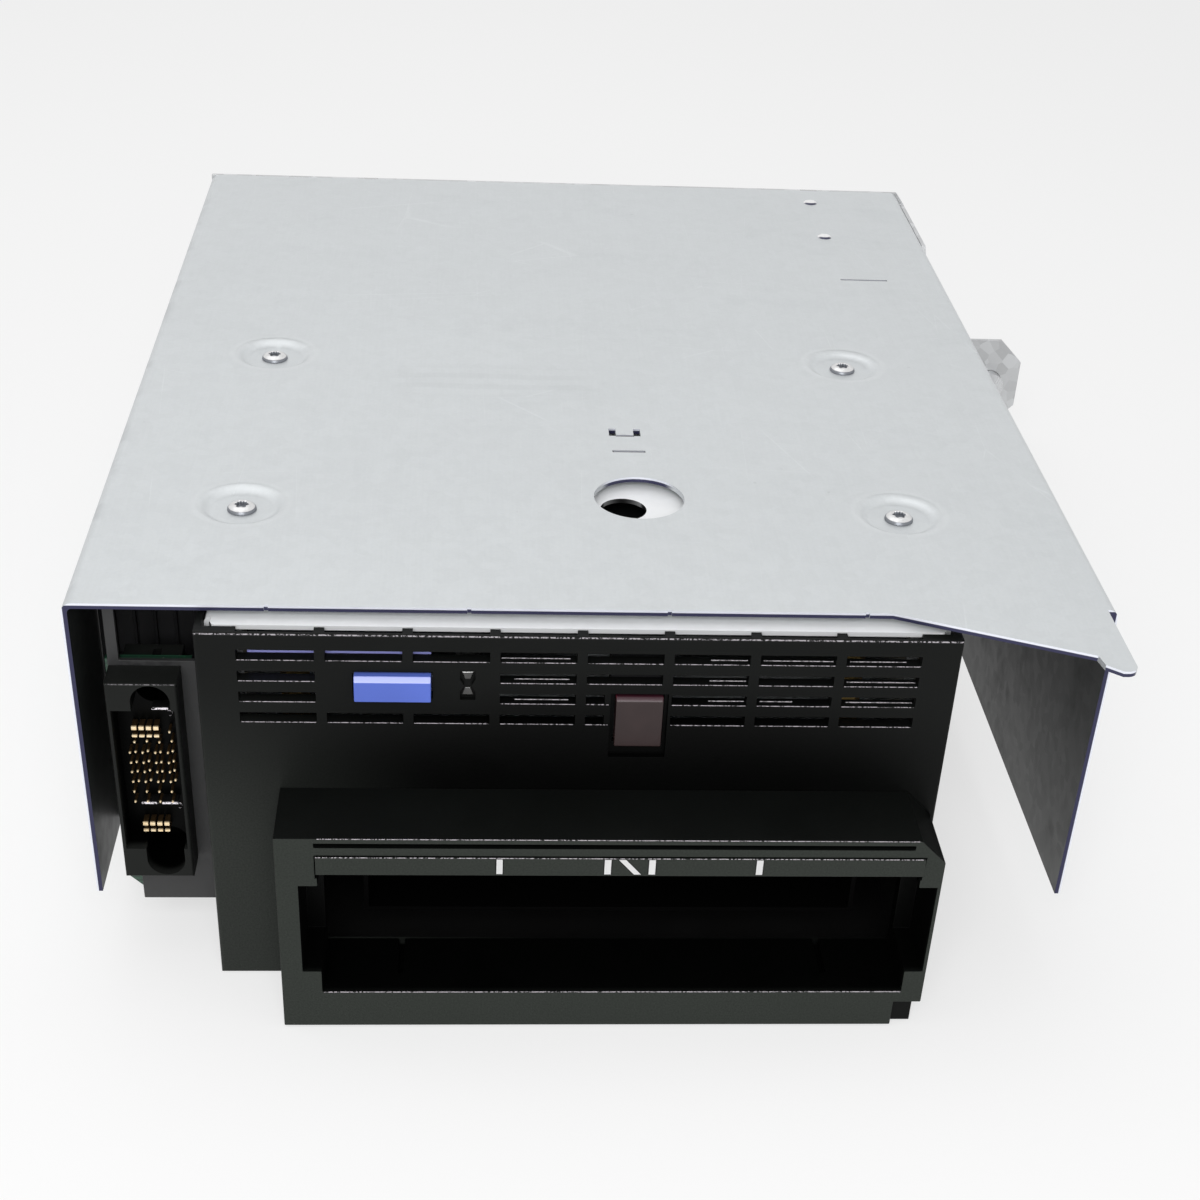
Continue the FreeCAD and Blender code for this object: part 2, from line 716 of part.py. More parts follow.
def optical_cage():
    """The open-fronted metal cage that takes a plug-in optical transceiver."""
    part = body("optical_cage")
    wide = middle(s.port_x, s.port_width)
    tall = middle(s.port_z, s.port_height)
    skin = 0.6
    pad(part, FRONT, (panel[1] - 46, panel[1] + 1.2), rect(wide, tall))
    pocket(part, FRONT, (panel[1] - 40, panel[1] + 2), rect(
        (wide[0] + skin, wide[1] - skin), (tall[0] + skin, tall[1] - skin)))
    return part


def interface_board():
    """The sled's own circuit board, hung under the cover behind the drive."""
    part = body("interface_board")
    top = s.port_z + s.port_height / 2 + s.board_gauge
    pad(part, FLAT, (top - s.board_gauge, top), rect((left + 6, s.fan_x - s.fan_size / 2 - 6),
                                                     (s.drive_depth + 5, s.cover_depth - 3)))
    posts = []
    for x in (left + 11, size(26.0)):
        for y in (s.drive_depth + 10, s.cover_depth - 8):
            posts.append(standoff("board_post_%d" % len(posts), x, y, (top, under)))
    group("board_posts", posts)
    chips = [
        block("controller_chip", middle(size(-15.0), 27.0), middle(size(226.0), 27.0),
              (top - s.board_gauge - 3, top - s.board_gauge)),
        block("power_choke", middle(size(14.0), 12.0), middle(size(238.0), 12.0),
              (top - s.board_gauge - 8, top - s.board_gauge)),
        block("board_header", (left + 8, left + 34), middle(s.drive_depth + 20, 8.0),
              (top - s.board_gauge - 9, top - s.board_gauge))]
    group("interface_parts", chips)


# ---------------------------------------------------------------- left bay

def hotplug_housing():
    """The blind-mate housing: a deep cavity between two guide holes that open into it."""
    part = body("hotplug_housing")
    wide = middle(s.plug_x, s.plug_width)
    pad(part, FRONT, (0, s.plug_depth), rect(wide, (s.plug_bottom, s.plug_top)))
    back = s.plug_depth + 9
    pad(part, FRONT, (s.plug_depth, back), rect((wide[0] + 2, wide[1] - 0.4),
                                                (s.plug_bottom + 0.5, s.plug_top - 0.5)))
    dress(part, "Fillet", 0.6, [(wide[0], 0, s.guide_low), (wide[1], 0, s.guide_low),
                                (s.plug_x, 0, s.plug_bottom), (s.plug_x, 0, s.plug_top)])
    pocket(part, FRONT, (-1, 6.5), rect((wide[0] + s.cavity_wall, wide[1] - s.cavity_wall),
                                        (s.cavity_bottom, s.cavity_top)))
    pocket(part, FRONT, (-1, back - 1.5), disc(s.guide_x, s.guide_low, s.guide_radius),
           disc(s.guide_x, s.guide_high, s.guide_radius))
    slot = middle(s.guide_x, 2 * s.guide_radius)
    pocket(part, FRONT, (-1, 6.5), rect(slot, (s.guide_low, s.cavity_bottom + 1)))
    pocket(part, FRONT, (-1, 6.5), rect(slot, (s.cavity_top - 1, s.guide_high)))
    return part


def hotplug_contacts():
    """Gilt pins in staggered rows, with two rows of power blades at each end."""
    contacts = []
    root = 6.5
    for end, first in (("high", s.cavity_top - 6.5), ("low", s.cavity_bottom + 3.6)):
        for row in range(2):
            for column in range(4):
                name = "blade_%s_%d_%d" % (end, row, column)
                contacts.append(block(name, middle(s.plug_x - 2.9 + 1.55 * column, 1.1),
                                      (root - 3.0, root), middle(first - 2.1 * row, 0.7)))
    for row in range(7):
        for column in range(4):
            name = "pin_%d_%d" % (row, column)
            contacts.append(block(name, middle(s.plug_x - 4.1 + 2.5 * column + 1.2 * (row % 2), 0.5),
                                  (root - 3.0, root), middle(s.cavity_top - 10.0 - 2.05 * row, 0.5)))
    group("hotplug_contacts", contacts)


def plug_carrier():
    """The hanger that holds the housing, and the small board behind it."""
    part = body("connector_bracket")
    plate = (s.plug_depth + s.slide_gap, s.plug_depth + s.slide_gap + s.gauge)
    wide = middle(s.plug_x, s.plug_width)
    inside = -drive_half - s.seat_gap
    strip = (wide[0] - 0.2, wide[0] + 2.1)
    pad(part, FRONT, plate, outline([
        (wide[0] + 1.8, s.plug_bottom - 11.5), (inside, s.plug_bottom - 11.5), (inside, s.plug_top + 1),
        (strip[1], s.plug_top + 1), (strip[1], under), (strip[0], under), (strip[0], s.plug_bottom - 4),
        (wide[0] + 1.8, s.plug_bottom - 4)]))
    pocket(part, FRONT, (plate[0] - 1, plate[1] + 1), rect(
        (wide[0] + 2 - s.seat_gap, wide[1] - 0.4 + s.seat_gap),
        (s.plug_bottom + 0.5 - s.seat_gap, s.plug_top - 0.5 + s.seat_gap)))
    pad(part, FLAT, (under - s.gauge, under), rect((strip[0], strip[1] + 9), (plate[0], plate[1] + 14)))
    pad(part, SIDE, (inside - s.gauge, inside), rect((plate[0], plate[1] + 16),
                                                     (s.plug_bottom - 11.5, s.plug_top + 1)))
    board = body("connector_board")
    back = plate[1] + s.seat_gap
    pad(board, FRONT, (back, back + s.board_gauge), outline([
        (wide[0] - 1, s.plug_bottom - 6.5), (wide[0] + 1.5, s.plug_bottom - 9), (wide[1] + 2, s.plug_bottom - 9),
        (wide[1] + 2, s.plug_top + 0.6), (wide[0] - 1, s.plug_top + 0.6)]))
    pocket(board, FRONT, (back - 1, back + 3), rect(
        (wide[0] + 2 - s.seat_gap, wide[1] - 0.4 + s.seat_gap),
        (s.plug_bottom + 0.5 - s.seat_gap, s.plug_top - 0.5 + s.seat_gap)))


# ---------------------------------------------------------------- drive front

def vent_column(index, columns=8):
    """The span of one vent, counted from the left."""
    centre = (index - (columns - 1) / 2) * s.vent_pitch
    return middle(centre, s.vent_pitch - s.vent_web)


def vent_level(row):
    """The span in height of one row of vents, counted from the top."""
    return middle(s.vent_first - row * s.vent_row, s.vent_height)


def bezel():
    """The moulded front, with its vents, light slot, window seat, button hole and mouth."""
    part = body("bezel")
    half = s.bezel_width / 2
    rim = face + s.bezel_depth
    pad(part, FRONT, (face, rim), rect((-half, half), (0, s.bezel_height)))
    dress(part, "Fillet", 0.8, [(-half, face, 40), (half, face, 40), (0, face, 0), (0, face, s.bezel_height)])
    pocket(part, FRONT, (behind_bezel, rim + 1), rect(
        (-drive_half - s.seat_gap, drive_half + s.seat_gap), (drive_bottom - s.seat_gap, s.bezel_height + 1)))
    window_left = s.window_x - s.window_width / 2 - 1.2
    open_columns = (range(8), (0, 3, 4, 5, 6, 7), (0, 3, 5, 6, 7), (0, 1, 2, 3, 5, 6, 7))
    vents = []
    for row, columns in enumerate(open_columns):
        vents += [rect(vent_column(column), vent_level(row)) for column in columns]
    for row in (2, 3):
        vents.append(rect((vent_column(4)[0], window_left), vent_level(row)))
    through = (face - 1, behind_bezel + 1)
    pocket(part, FRONT, through, *vents)
    tops = [rect(vent_column(column), (face + 1, behind_bezel + 0.5)) for column in range(8)]
    pocket(part, FLAT, (s.bezel_height - s.vent_height, s.bezel_height + 1), *tops)
    hole = 2 * s.slide_gap
    pocket(part, FRONT, through,
           rect(middle(s.button_x, s.button_width + hole), middle(s.button_z, s.button_height + hole)),
           rect((mouth_span[0] - 2, mouth_span[1] + 2), (s.mouth_sill - 2, s.mouth_lintel + 2)))
    pocket(part, FRONT, (face - 1, face + 1.4), rect(
        middle(s.window_x, s.window_width), middle(s.window_z, s.window_height)))
    pocket(part, FRONT, through, rect(
        middle(s.window_x, s.window_width - 2 + hole), (s.window_z - 4.3 - s.slide_gap, s.window_z + 7.4)))
    low_light = s.light_z - s.light_pitch / 2
    high_light = s.light_z + s.light_pitch / 2
    pocket(part, FRONT, (face - 1, face + 1.2), outline([
        (s.light_x - 1.5, low_light - 1.3), (s.light_x + 1.5, low_light - 1.3), (s.light_x + 1.5, low_light + 0.6),
        (s.light_x + 0.7, s.light_z), (s.light_x + 1.5, high_light - 0.6), (s.light_x + 1.5, high_light + 1.3),
        (s.light_x - 1.5, high_light + 1.3), (s.light_x - 1.5, high_light - 0.6), (s.light_x - 0.7, s.light_z),
        (s.light_x - 1.5, low_light + 0.6)]))
    pipe_hole = s.light_radius + s.seat_gap
    pocket(part, FRONT, through, disc(s.light_x, low_light, pipe_hole), disc(s.light_x, high_light, pipe_hole))
    return part


def unload_button():
    """The button, in one piece with the arm that runs behind the top row of vents."""
    part = body("unload_button")
    front = face - s.button_proud
    pad(part, FRONT, (front, behind_bezel + s.slide_gap + 1), rect(
        middle(s.button_x, s.button_width), middle(s.button_z, s.button_height)))
    dress(part, "Chamfer", 0.9, [(s.button_x, front, s.button_z + s.button_height / 2)])
    arm_left = vent_column(0)[0] + 1.8
    arm = (behind_bezel + s.slide_gap, behind_bezel + s.slide_gap + 4.5)
    pad(part, FRONT, arm, rect((arm_left, s.button_x + s.button_width / 2),
                               (s.button_z + 1.2, s.button_z + 6.0)))
    return part


def display():
    """The window over the single-character display, and the display behind it."""
    window = body("display_window")
    wide = middle(s.window_x, s.window_width - 2)
    tall = (s.window_z - 4.3, s.window_z + 7.1)
    pad(window, FRONT, (face - 1, behind_bezel), rect(wide, tall))
    dress(window, "Chamfer", 0.8, [(s.window_x, face - 1, tall[1])])
    module = body("display_module")
    back = behind_bezel + s.seat_gap
    pad(module, FRONT, (back, back + 5), rect(middle(s.window_x, s.window_width), (tall[0], board_z[0])))
    bars = [rect(middle(s.window_x, 4.4), middle(tall[0] + level, 0.8)) for level in (2.2, 5.7, 9.2)]
    pocket(module, FRONT, (back - 1, back + 0.4), *bars)


def light_pipes():
    """Two clear pipes that carry the status lights to the bezel."""
    pipes = []
    for index, lift in enumerate((-1, 1)):
        pipes.append(rod("light_pipe_%d" % (index + 1), s.light_x, face + 0.4,
                         s.light_z + lift * s.light_pitch / 2, s.light_radius, 11.0, REARWARD))
    pipes.append(block("light_carrier", middle(s.light_x, 5.0), (face + 11.5, face + 13.5),
                       (s.light_z - s.light_pitch, board_z[0])))
    group("status_lights", pipes)


def snout():
    """The loading mouth: a deep frame with picker notches, chamfers and a recess for the bar."""
    part = body("snout")
    top = s.mouth_top
    wide = (-s.mouth_left, s.mouth_right)
    corner = 5.4
    pad(part, FRONT, (mouth_front, face), outline([
        (wide[0], s.mouth_bottom), (wide[1] - 5.8, s.mouth_bottom), (wide[1] - 5.8, s.mouth_bottom + 6.3),
        (wide[1], s.mouth_bottom + 6.3), (wide[1], top - corner), (wide[1] - corner, top), (wide[0], top)]))
    pad(part, FRONT, (mouth_front + 1.5, face), rect(
        (wide[1] - 6.8, wide[1] - 1.4), (s.mouth_bottom, s.mouth_bottom + 7)))
    pocket(part, FRONT, (mouth_front - 1, face + 1), rect(mouth_span, (s.mouth_sill, s.mouth_lintel)))
    notch = (cartridge_height[0] - s.slide_gap, cartridge_height[1] + s.slide_gap)
    pocket(part, FRONT, (mouth_front - 1, face - 3), rect(
        (mouth_span[0] - s.notch_depth, mouth_span[1] + s.notch_depth), notch))
    bar_top = s.mouth_lintel + s.bar_height
    pocket(part, FRONT, (mouth_front - 1, mouth_front + 4), rect(
        (mouth_span[0] - 0.4, mouth_span[1] + 0.5), (s.mouth_lintel - 1, bar_top + s.seat_gap)))
    pocket(part, FRONT, (mouth_front - 1, mouth_front + 2.5), rect(
        (mouth_span[0] - 0.4, mouth_span[1] - 2), (bar_top + 2.0, bar_top + 3.0)))
    sill = [rect((x, x + 1.2), (s.mouth_sill - 1.5, s.mouth_sill + 1)) for x in
            (cartridge_span[0] + 6, cartridge_span[1] - 7.2)]
    pocket(part, FRONT, (mouth_front + 6, face + 1), *sill)
    return part


def fiducial_bar():
    """The separate bar across the top of the mouth that carries the picker's target."""
    part = body("fiducial_bar")
    span = (mouth_span[0] - 0.2, mouth_span[1] + 0.4)
    pad(part, FRONT, (mouth_front - 0.4, mouth_front + 3.8), rect(
        span, (s.mouth_lintel, s.mouth_lintel + s.bar_height)))
    dress(part, "Fillet", 0.4, [(0, mouth_front - 0.4, s.mouth_lintel),
                                (0, mouth_front - 0.4, s.mouth_lintel + s.bar_height)])


# ---------------------------------------------------------------- drive case

def drive_covers():
    """The two folded halves of the drive's case, which meet half way up its sides."""
    seam = s.deck_z + 1.5
    upper = body("drive_cover_upper")
    pad(upper, FRONT, (0, s.drive_depth), outline([
        (-drive_half, seam), (-drive_half, s.drive_top), (drive_half, s.drive_top), (drive_half, seam),
        (drive_inner, seam), (drive_inner, drive_roof), (-drive_inner, drive_roof), (-drive_inner, seam)]))
    lip_half = drive_half - s.lip_inset
    pad(upper, FLAT, (drive_roof, s.drive_top), rect((-lip_half, lip_half), (-s.lip_reach, 1)))
    dress(upper, "Fillet", 1.0, [(side * lip_half, -s.lip_reach, s.drive_top - s.drive_skin / 2)
                                 for side in (-1, 1)])
    dress(upper, "Fillet", 1.2, [(-drive_half, s.drive_depth / 2, s.drive_top),
                                 (drive_half, s.drive_depth / 2, s.drive_top)])
    pocket(upper, FLAT, (drive_roof - 1, s.drive_top + 1), disc(s.access_x - 3.3, s.access_y - 0.4, 5.0),
           *[disc(x, y, s.screw_radius) for x, y in screw_places])
    side_holes = [disc(y, s.drive_top - s.side_hole_drop, s.screw_radius)
                  for y in (s.screw_setback, s.screw_setback + s.screw_along)]
    pocket(upper, SIDE, (-drive_half - 1, drive_half + 1), *side_holes)
    lower = body("drive_cover_lower")
    joint = seam - s.seat_gap
    pad(lower, FRONT, (0, s.drive_depth), outline([
        (-drive_half, joint), (-drive_half, drive_bottom), (drive_half, drive_bottom), (drive_half, joint),
        (drive_inner, joint), (drive_inner, drive_floor), (-drive_inner, drive_floor), (-drive_inner, joint)]))
    dress(lower, "Fillet", 1.2, [(-drive_half, s.drive_depth / 2, drive_bottom),
                                 (drive_half, s.drive_depth / 2, drive_bottom)])
    back = body("drive_back")
    pad(back, FRONT, (s.drive_depth - s.drive_skin - s.seat_gap, s.drive_depth - s.seat_gap), rect(
        (-drive_inner + s.seat_gap, drive_inner - s.seat_gap),
        (drive_floor + s.seat_gap, drive_roof - s.seat_gap)))
    ports = [rect((-58, -34), (60, 72)), rect((-24, 12), (64, 73)), rect((34, 56), (60, 72))]
    pocket(back, FRONT, (s.drive_depth - 3, s.drive_depth + 1), *ports)
    plugs = []
    for index, (x, z) in enumerate((((-57.7, -34.3), (60.3, 71.7)), ((-23.7, 11.7), (64.3, 72.7)),
                                    ((34.3, 55.7), (60.3, 71.7)))):
        shell = block("rear_shell_%d" % index, x, (s.drive_depth - 14, s.drive_depth + 2), (z[0], board_z[0]))
        hollow = block("rear_hollow_%d" % index, (x[0] + 1.2, x[1] - 1.2),
                       (s.drive_depth - 8, s.drive_depth + 3), (z[0] + 1.2, z[1] - 1.2))
        trim = block("rear_trim_%d" % index, (x[0] - 1, x[1] + 1),
                     (s.drive_depth - 2, s.drive_depth + 3), (z[1], board_z[0] + 1))
        plugs.append(without("rear_connector_%d" % index, shell, hollow, trim))
    group("rear_connectors", plugs)


def deck_casting():
    """The cast deck: a web with spindle and shaft holes, and side rails up to the case."""
    part = body("deck_casting")
    wide = (-drive_inner, drive_inner)
    long = (size(6.0), s.drive_depth - 6)
    pad(part, FLAT, (s.deck_z, deck_top), rect(wide, long))
    rail = 5.4
    rails = [rect((-drive_inner, -drive_inner + rail), long), rect((drive_inner - rail, drive_inner), long)]
    pad(part, FLAT, (deck_top, drive_roof), *rails)
    ribs = [rect((-drive_inner + rail - 1, drive_inner - rail + 1), middle(size(y), 2.0))
            for y in (34.0, (s.hub_y + reel_y) / 2, s.drive_depth - 12)]
    pad(part, FLAT, (deck_top, deck_top + 5), *ribs)
    clear = s.spindle_radius + 1
    pocket(part, FLAT, (s.deck_z - 1, deck_top + 1),
           disc(s.cartridge_x, s.hub_y, clear), disc(s.cartridge_x, reel_y, clear),
           disc(s.gear_x, s.gear_y + s.gear_pitch + s.pinion_pitch, s.post_radius + 1))
    screw_holes = [disc(x, y, s.screw_radius + s.seat_gap) for x, y in screw_places]
    pocket(part, FLAT, (drive_roof - 8, drive_roof + 1), *screw_holes)
    return part


def logic_board():
    """The drive's main board under its case, carried on four posts from the deck."""
    part = body("logic_board")
    wide = (-drive_inner + 6.5, drive_inner - 6.5)
    pad(part, FLAT, board_z, rect(wide, (size(4.5), s.drive_depth - 3)))
    post_places = [(x, y) for x in (-58.0, 58.0) for y in (18.0, s.drive_depth - 26)]
    posts = []
    for x, y in post_places:
        posts.append(standoff("deck_post_%d" % len(posts), x, y, (deck_top, board_z[0])))
    group("deck_posts", posts)
    chips = []
    for index, (x, y, wide_chip, tall) in enumerate((
            (-18.0, 84.0, 31.0, 2.6), (28.0, 90.0, 27.0, 2.2), (-26.0, 128.0, 20.0, 1.8),
            (44.0, 140.0, 14.0, 5.5), (-50.0, 60.0, 14.0, 1.6), (50.0, 40.0, 12.0, 7.0))):
        chips.append(block("chip_%d" % index, middle(size(x), wide_chip), middle(size(y), wide_chip * 0.8),
                           (board_z[0] - tall, board_z[0])))
    arm_back = behind_bezel + s.slide_gap + 4.5
    chips.append(block("unload_switch", middle(s.button_x, 7.0), (arm_back + s.button_travel + 1.2,
                                                                  arm_back + s.button_travel + 6),
                       (s.button_z - 1, board_z[0])))
    group("board_parts", chips)


# ---------------------------------------------------------------- drive mechanism

def spindle_motor(label, y):
    """A flat brushless motor on top of the deck, bored for its spindle."""
    bore = s.spindle_radius + s.running_gap
    rim = s.motor_radius
    return turned(label, [
        (bore, 0), (rim, 0), (rim, 2), (rim - 2, 2), (rim - 2, s.motor_height), (bore, s.motor_height)],
        s.cartridge_x, y, deck_top)


def supply_clutch():
    """The clutch that grips the cartridge's hub: a disc of face teeth on the motor's spindle."""
    top = deck_top + s.motor_height - 1
    disc_top = s.deck_z - 2.5
    part = turned("supply_clutch", [
        (0, disc_top - 3), (s.clutch_radius, disc_top - 3), (s.clutch_radius, disc_top),
        (s.spindle_radius, disc_top), (s.spindle_radius, top), (0, top)], s.cartridge_x, s.hub_y, 0)
    tooth = pad(part, FLAT, (disc_top - 4.2, disc_top - 3 + s.seat_gap), outline([
        (s.clutch_radius - 4, -0.7), (s.clutch_radius - 0.5, -1.1), (s.clutch_radius - 0.5, 1.1),
        (s.clutch_radius - 4, 0.7)]))
    polar(part, tooth, 12)
    return part


def takeup_reel():
    """The take-up reel: two flanges on a hub that has a slot for the leader block."""
    top = deck_top + s.motor_height - 1
    low = cartridge_height[0] + 1.5
    high = cartridge_height[1] - 1.5
    part = turned("takeup_reel", [
        (0, low), (s.reel_radius, low), (s.reel_radius, low + 1.2), (s.reel_hub, low + 1.2),
        (s.reel_hub, high - 1.2), (s.reel_radius, high - 1.2), (s.reel_radius, high),
        (s.spindle_radius, high), (s.spindle_radius, top), (0, top)], s.cartridge_x, reel_y, 0)
    pocket(part, FLAT, (low + 1.2, high - 1.2), rect((-s.reel_hub - 1, -s.reel_hub + 7), (-3, 3)))
    windows = pocket(part, FLAT, (high - 1.2, high + 1), rect(
        (s.reel_hub + 3, s.reel_radius - 4), (-3.5, 3.5)))
    polar(part, windows, 3)
    return part


def hung_post(name, x, y, low):
    """A round post that hangs from the deck, with a hexagonal head just under what turns on it."""
    post = doc.addObject("PartDesign::Body", name)
    place(post, x, y, 0)
    head = low - s.slide_gap
    pad(post, FLAT, (head, s.deck_z), disc(0, 0, s.post_radius))
    pad(post, FLAT, (head - 1.5, head), polygon(6, 2.8))
    return post


def rollers():
    """Four flanged guide rollers, each on a post that hangs from the deck."""
    spots = ((-47.0, -31.0), (-57.0, -17.0), (-57.0, 17.0), (-47.0, 31.0))
    low = s.cartridge_z - s.roller_height / 2
    high = s.cartridge_z + s.roller_height / 2
    posts = []
    bore = s.post_radius + s.running_gap
    for index, (x, y) in enumerate(spots):
        across = reel_y + y
        turned("guide_roller_%d" % (index + 1), [
            (bore, low - 1), (s.roller_rim, low - 1), (s.roller_rim, low), (s.roller_radius, low),
            (s.roller_radius, high), (s.roller_rim, high), (s.roller_rim, high + 1), (bore, high + 1)],
            x, across, 0)
        posts.append(hung_post("roller_post_%d" % (index + 1), x, across, low - 1))
    group("roller_posts", posts)


def head_assembly():
    """The head on its carriage, which rides up and down two rods in a bracket."""
    wall = -drive_inner + s.seat_gap
    rod_x = wall + 3.6
    reach = (head_y - 9, head_y + 9)
    low = s.cartridge_z - 6.5 - s.head_travel - 3
    frame = body("head_frame")
    pad(frame, SIDE, (wall, wall + 0.9), rect(reach, (low - 1.5, s.deck_z)))
    pad(frame, FLAT, (low - 1.5, low), rect((wall, wall + 7), reach))
    rods = [rod("head_rod_%d" % index, rod_x, head_y + side * 6.5, low, 1.2, s.deck_z - low)
            for index, side in enumerate((-1, 1))]
    group("head_rods", rods)
    carriage = body("head_carriage")
    tall = (s.cartridge_z - 6.5, s.cartridge_z + 6.5)
    pad(carriage, FLAT, tall, rect((wall + 0.9 + s.slide_gap, rod_x + 2.4), reach))
    bore = 1.2 + s.running_gap
    pocket(carriage, FLAT, (tall[0] - 1, tall[1] + 1), disc(rod_x, head_y - 6.5, bore),
           disc(rod_x, head_y + 6.5, bore))
    head = body("read_write_head")
    start = rod_x + 2.4
    pad(head, FLAT, (tall[0] - 1, tall[1] + 1), rect((start, start + 3.4), middle(head_y, 9.0)))
    dress(head, "Fillet", 1.5, [(start + 3.4, head_y - 4.5, s.cartridge_z),
                                (start + 3.4, head_y + 4.5, s.cartridge_z)])
    coil = body("head_coil")
    pad(coil, FLAT, (tall[1], tall[1] + 4), rect((wall + 2, rod_x + 1.6), middle(head_y, 7.0)))
    pocket(coil, FLAT, (tall[1] + 1, tall[1] + 5), rect((wall + 3, rod_x + 0.6), middle(head_y, 5.0)))
    magnet = body("head_magnet")
    pad(magnet, FLAT, (tall[1] + 1 + s.head_travel + s.slide_gap + 1, s.deck_z), rect(
        (wall + 3 + s.slide_gap, rod_x + 0.6 - s.slide_gap), middle(head_y, 5.0 - 2 * s.slide_gap)))


def leader_grabber():
    """The grabber that pulls the tape's leader pin along its rail to the take-up reel."""
    rail = body("grabber_rail")
    top = s.deck_z
    pad(rail, FLAT, (top - 2.5, top), rect(middle(s.grabber_x, 3.4),
                                           (grabber_y - 6, grabber_y + s.grabber_travel + 8)))
    pad(rail, FLAT, (top - 4, top - 2.5 + s.seat_gap), rect(
        middle(s.grabber_x, 1.4), (grabber_y - 6, grabber_y + s.grabber_travel + 8)))
    part = body("leader_grabber")
    gap = s.slide_gap
    pad(part, FLAT, (top - 8, top - 2.5 - gap), rect(middle(s.grabber_x, 6.0), middle(grabber_y, 10.0)))
    pocket(part, FLAT, (top - 4 - gap, top), rect(
        middle(s.grabber_x, 1.4 + 2 * gap), middle(grabber_y, 12.0)))
    pad(part, FLAT, (s.cartridge_z - 8, top - 8), rect(
        middle(s.grabber_x, 2.4), (grabber_y - 1.5, grabber_y + 3)))
    pocket(part, FLAT, (s.cartridge_z - 9, s.cartridge_z + 8), disc(s.grabber_x, grabber_y - 1.5, 1.0))


def tooth_figure(pitch_radius, turn):
    """One tooth of a module-one gear, centred on the angle turn."""
    root, mid, tip = pitch_radius - 1.1, pitch_radius, pitch_radius + 0.75
    ring = ((root - 0.4, 0.95), (mid, 0.66), (tip, 0.34))
    cosine = math.cos(math.radians(turn))
    sine = math.sin(math.radians(turn))
    flank = [(radius, -half) for radius, half in ring] + [(radius, half) for radius, half in reversed(ring)]
    return outline([(u * cosine - v * sine, u * sine + v * cosine) for u, v in flank])


def gear_wheel(label, pitch_radius, teeth, turn, y, face_span, bore, hub):
    """A toothed wheel about an upright axis, with one tooth centred on the angle turn."""
    part = body(label, s.gear_x, y, 0)
    pad(part, FLAT, face_span, disc(0, 0, pitch_radius - 1.1))
    tooth = pad(part, FLAT, face_span, tooth_figure(pitch_radius, turn))
    polar(part, tooth, teeth)
    if bore is not None:
        pocket(part, FLAT, (face_span[0] - 1, face_span[1] + 1), disc(0, 0, bore))
    if hub is not None:
        pad(part, FLAT, (face_span[1] - 1, hub[1]), disc(0, 0, hub[0]))
    return part


def loader():
    """The cartridge tray on its rails, and the motor, pinion and gear that drive its rack."""
    plate = (s.deck_z - 5.0, s.deck_z - 4.0)
    teeth_z = (s.deck_z - 5.0, s.deck_z - 2.0)
    inner = (cartridge_span[0] - 0.5, cartridge_span[1] + 0.5)
    rack_line = s.gear_x + s.gear_pitch
    start = s.tray_front
    end = start + s.tray_length
    tray = body("loader_tray")
    rack_back = rack_line + 1.1
    pad(tray, FLAT, plate, rect((rack_back, inner[1] + 3.1), (start, end)))
    floor = cartridge_height[0] - 0.5
    skin = s.tray_skin
    for side in ((inner[0] - skin, inner[0]), (inner[1], inner[1] + skin)):
        pad(tray, SIDE, side, rect((start, end), (floor - skin, plate[0] + s.seat_gap)))
    pad(tray, FLAT, (floor - skin, floor), rect((inner[0] - skin, inner[1] + skin), (start, end)))
    pocket(tray, FLAT, (floor - skin - 1, floor + 1), rect(
        (inner[0] + 14, inner[1] - 14), (start + 34, end - 12)))
    pocket(tray, FLAT, (plate[0] - 1, plate[1] + 1), rect(
        middle(s.cartridge_x, 2 * s.clutch_radius + 4),
        (s.hub_y - s.clutch_radius - s.tray_travel - 2, s.hub_y + s.clutch_radius + 2)))
    pitch = math.pi
    pad(tray, FLAT, teeth_z, rect((rack_back, rack_back + 2), (s.gear_y - 26, s.gear_y + 12)))
    for index in range(-8, 4):
        y = s.gear_y + (index + 0.5) * pitch
        pad(tray, FLAT, teeth_z, outline([
            (rack_back + 0.3, y - 0.95), (rack_line, y - 0.66), (rack_line - 0.75, y - 0.34),
            (rack_line - 0.75, y + 0.34), (rack_line, y + 0.66), (rack_back + 0.3, y + 0.95)]))
    pinion_y = s.gear_y + s.gear_pitch + s.pinion_pitch
    gear_wheel("loader_gear", s.gear_pitch, 18, 0.0, s.gear_y, teeth_z, s.post_radius + s.running_gap, None)
    gear_wheel("loader_pinion", s.pinion_pitch, 8, -90.0, pinion_y, teeth_z, None,
               (s.post_radius, deck_top + 12))
    keep(hung_post("gear_post", s.gear_x, s.gear_y, teeth_z[0]), "gear_post")
    bore = s.post_radius + s.running_gap
    turned("loader_motor", [
        (bore, deck_top), (8.0, deck_top), (8.0, deck_top + 17.5), (3.0, deck_top + 17.5),
        (3.0, deck_top + 19), (0, deck_top + 19), (0, deck_top + 12 + s.slide_gap),
        (bore, deck_top + 12 + s.slide_gap)], s.gear_x, pinion_y, 0)
    lip_z = (plate[0] - s.slide_gap - 1.5, plate[0] - s.slide_gap)
    rails = []
    edge = inner[1] + 3.1 + s.slide_gap
    runs = [("right", (edge, edge + 2), (edge - 2, edge + 2), (s.rail_front, end + s.tray_travel))]
    outside = rack_line - 0.75 - s.slide_gap - s.slide_gap
    left_wall = (outside - 2, outside)
    left_lip = (outside - 2, inner[0] - skin - s.slide_gap)
    runs.append(("left_front", left_wall, left_lip, (s.rail_front, s.gear_y - 14)))
    runs.append(("left_rear", left_wall, left_lip, (pinion_y + 8, end + s.tray_travel)))
    for name, wall, lip, along in runs:
        rails.append(joined("rail_" + name, block("wall_" + name, wall, along, (lip_z[0], s.deck_z)),
                            block("lip_" + name, lip, along, lip_z)))
    group("loader_rails", rails)


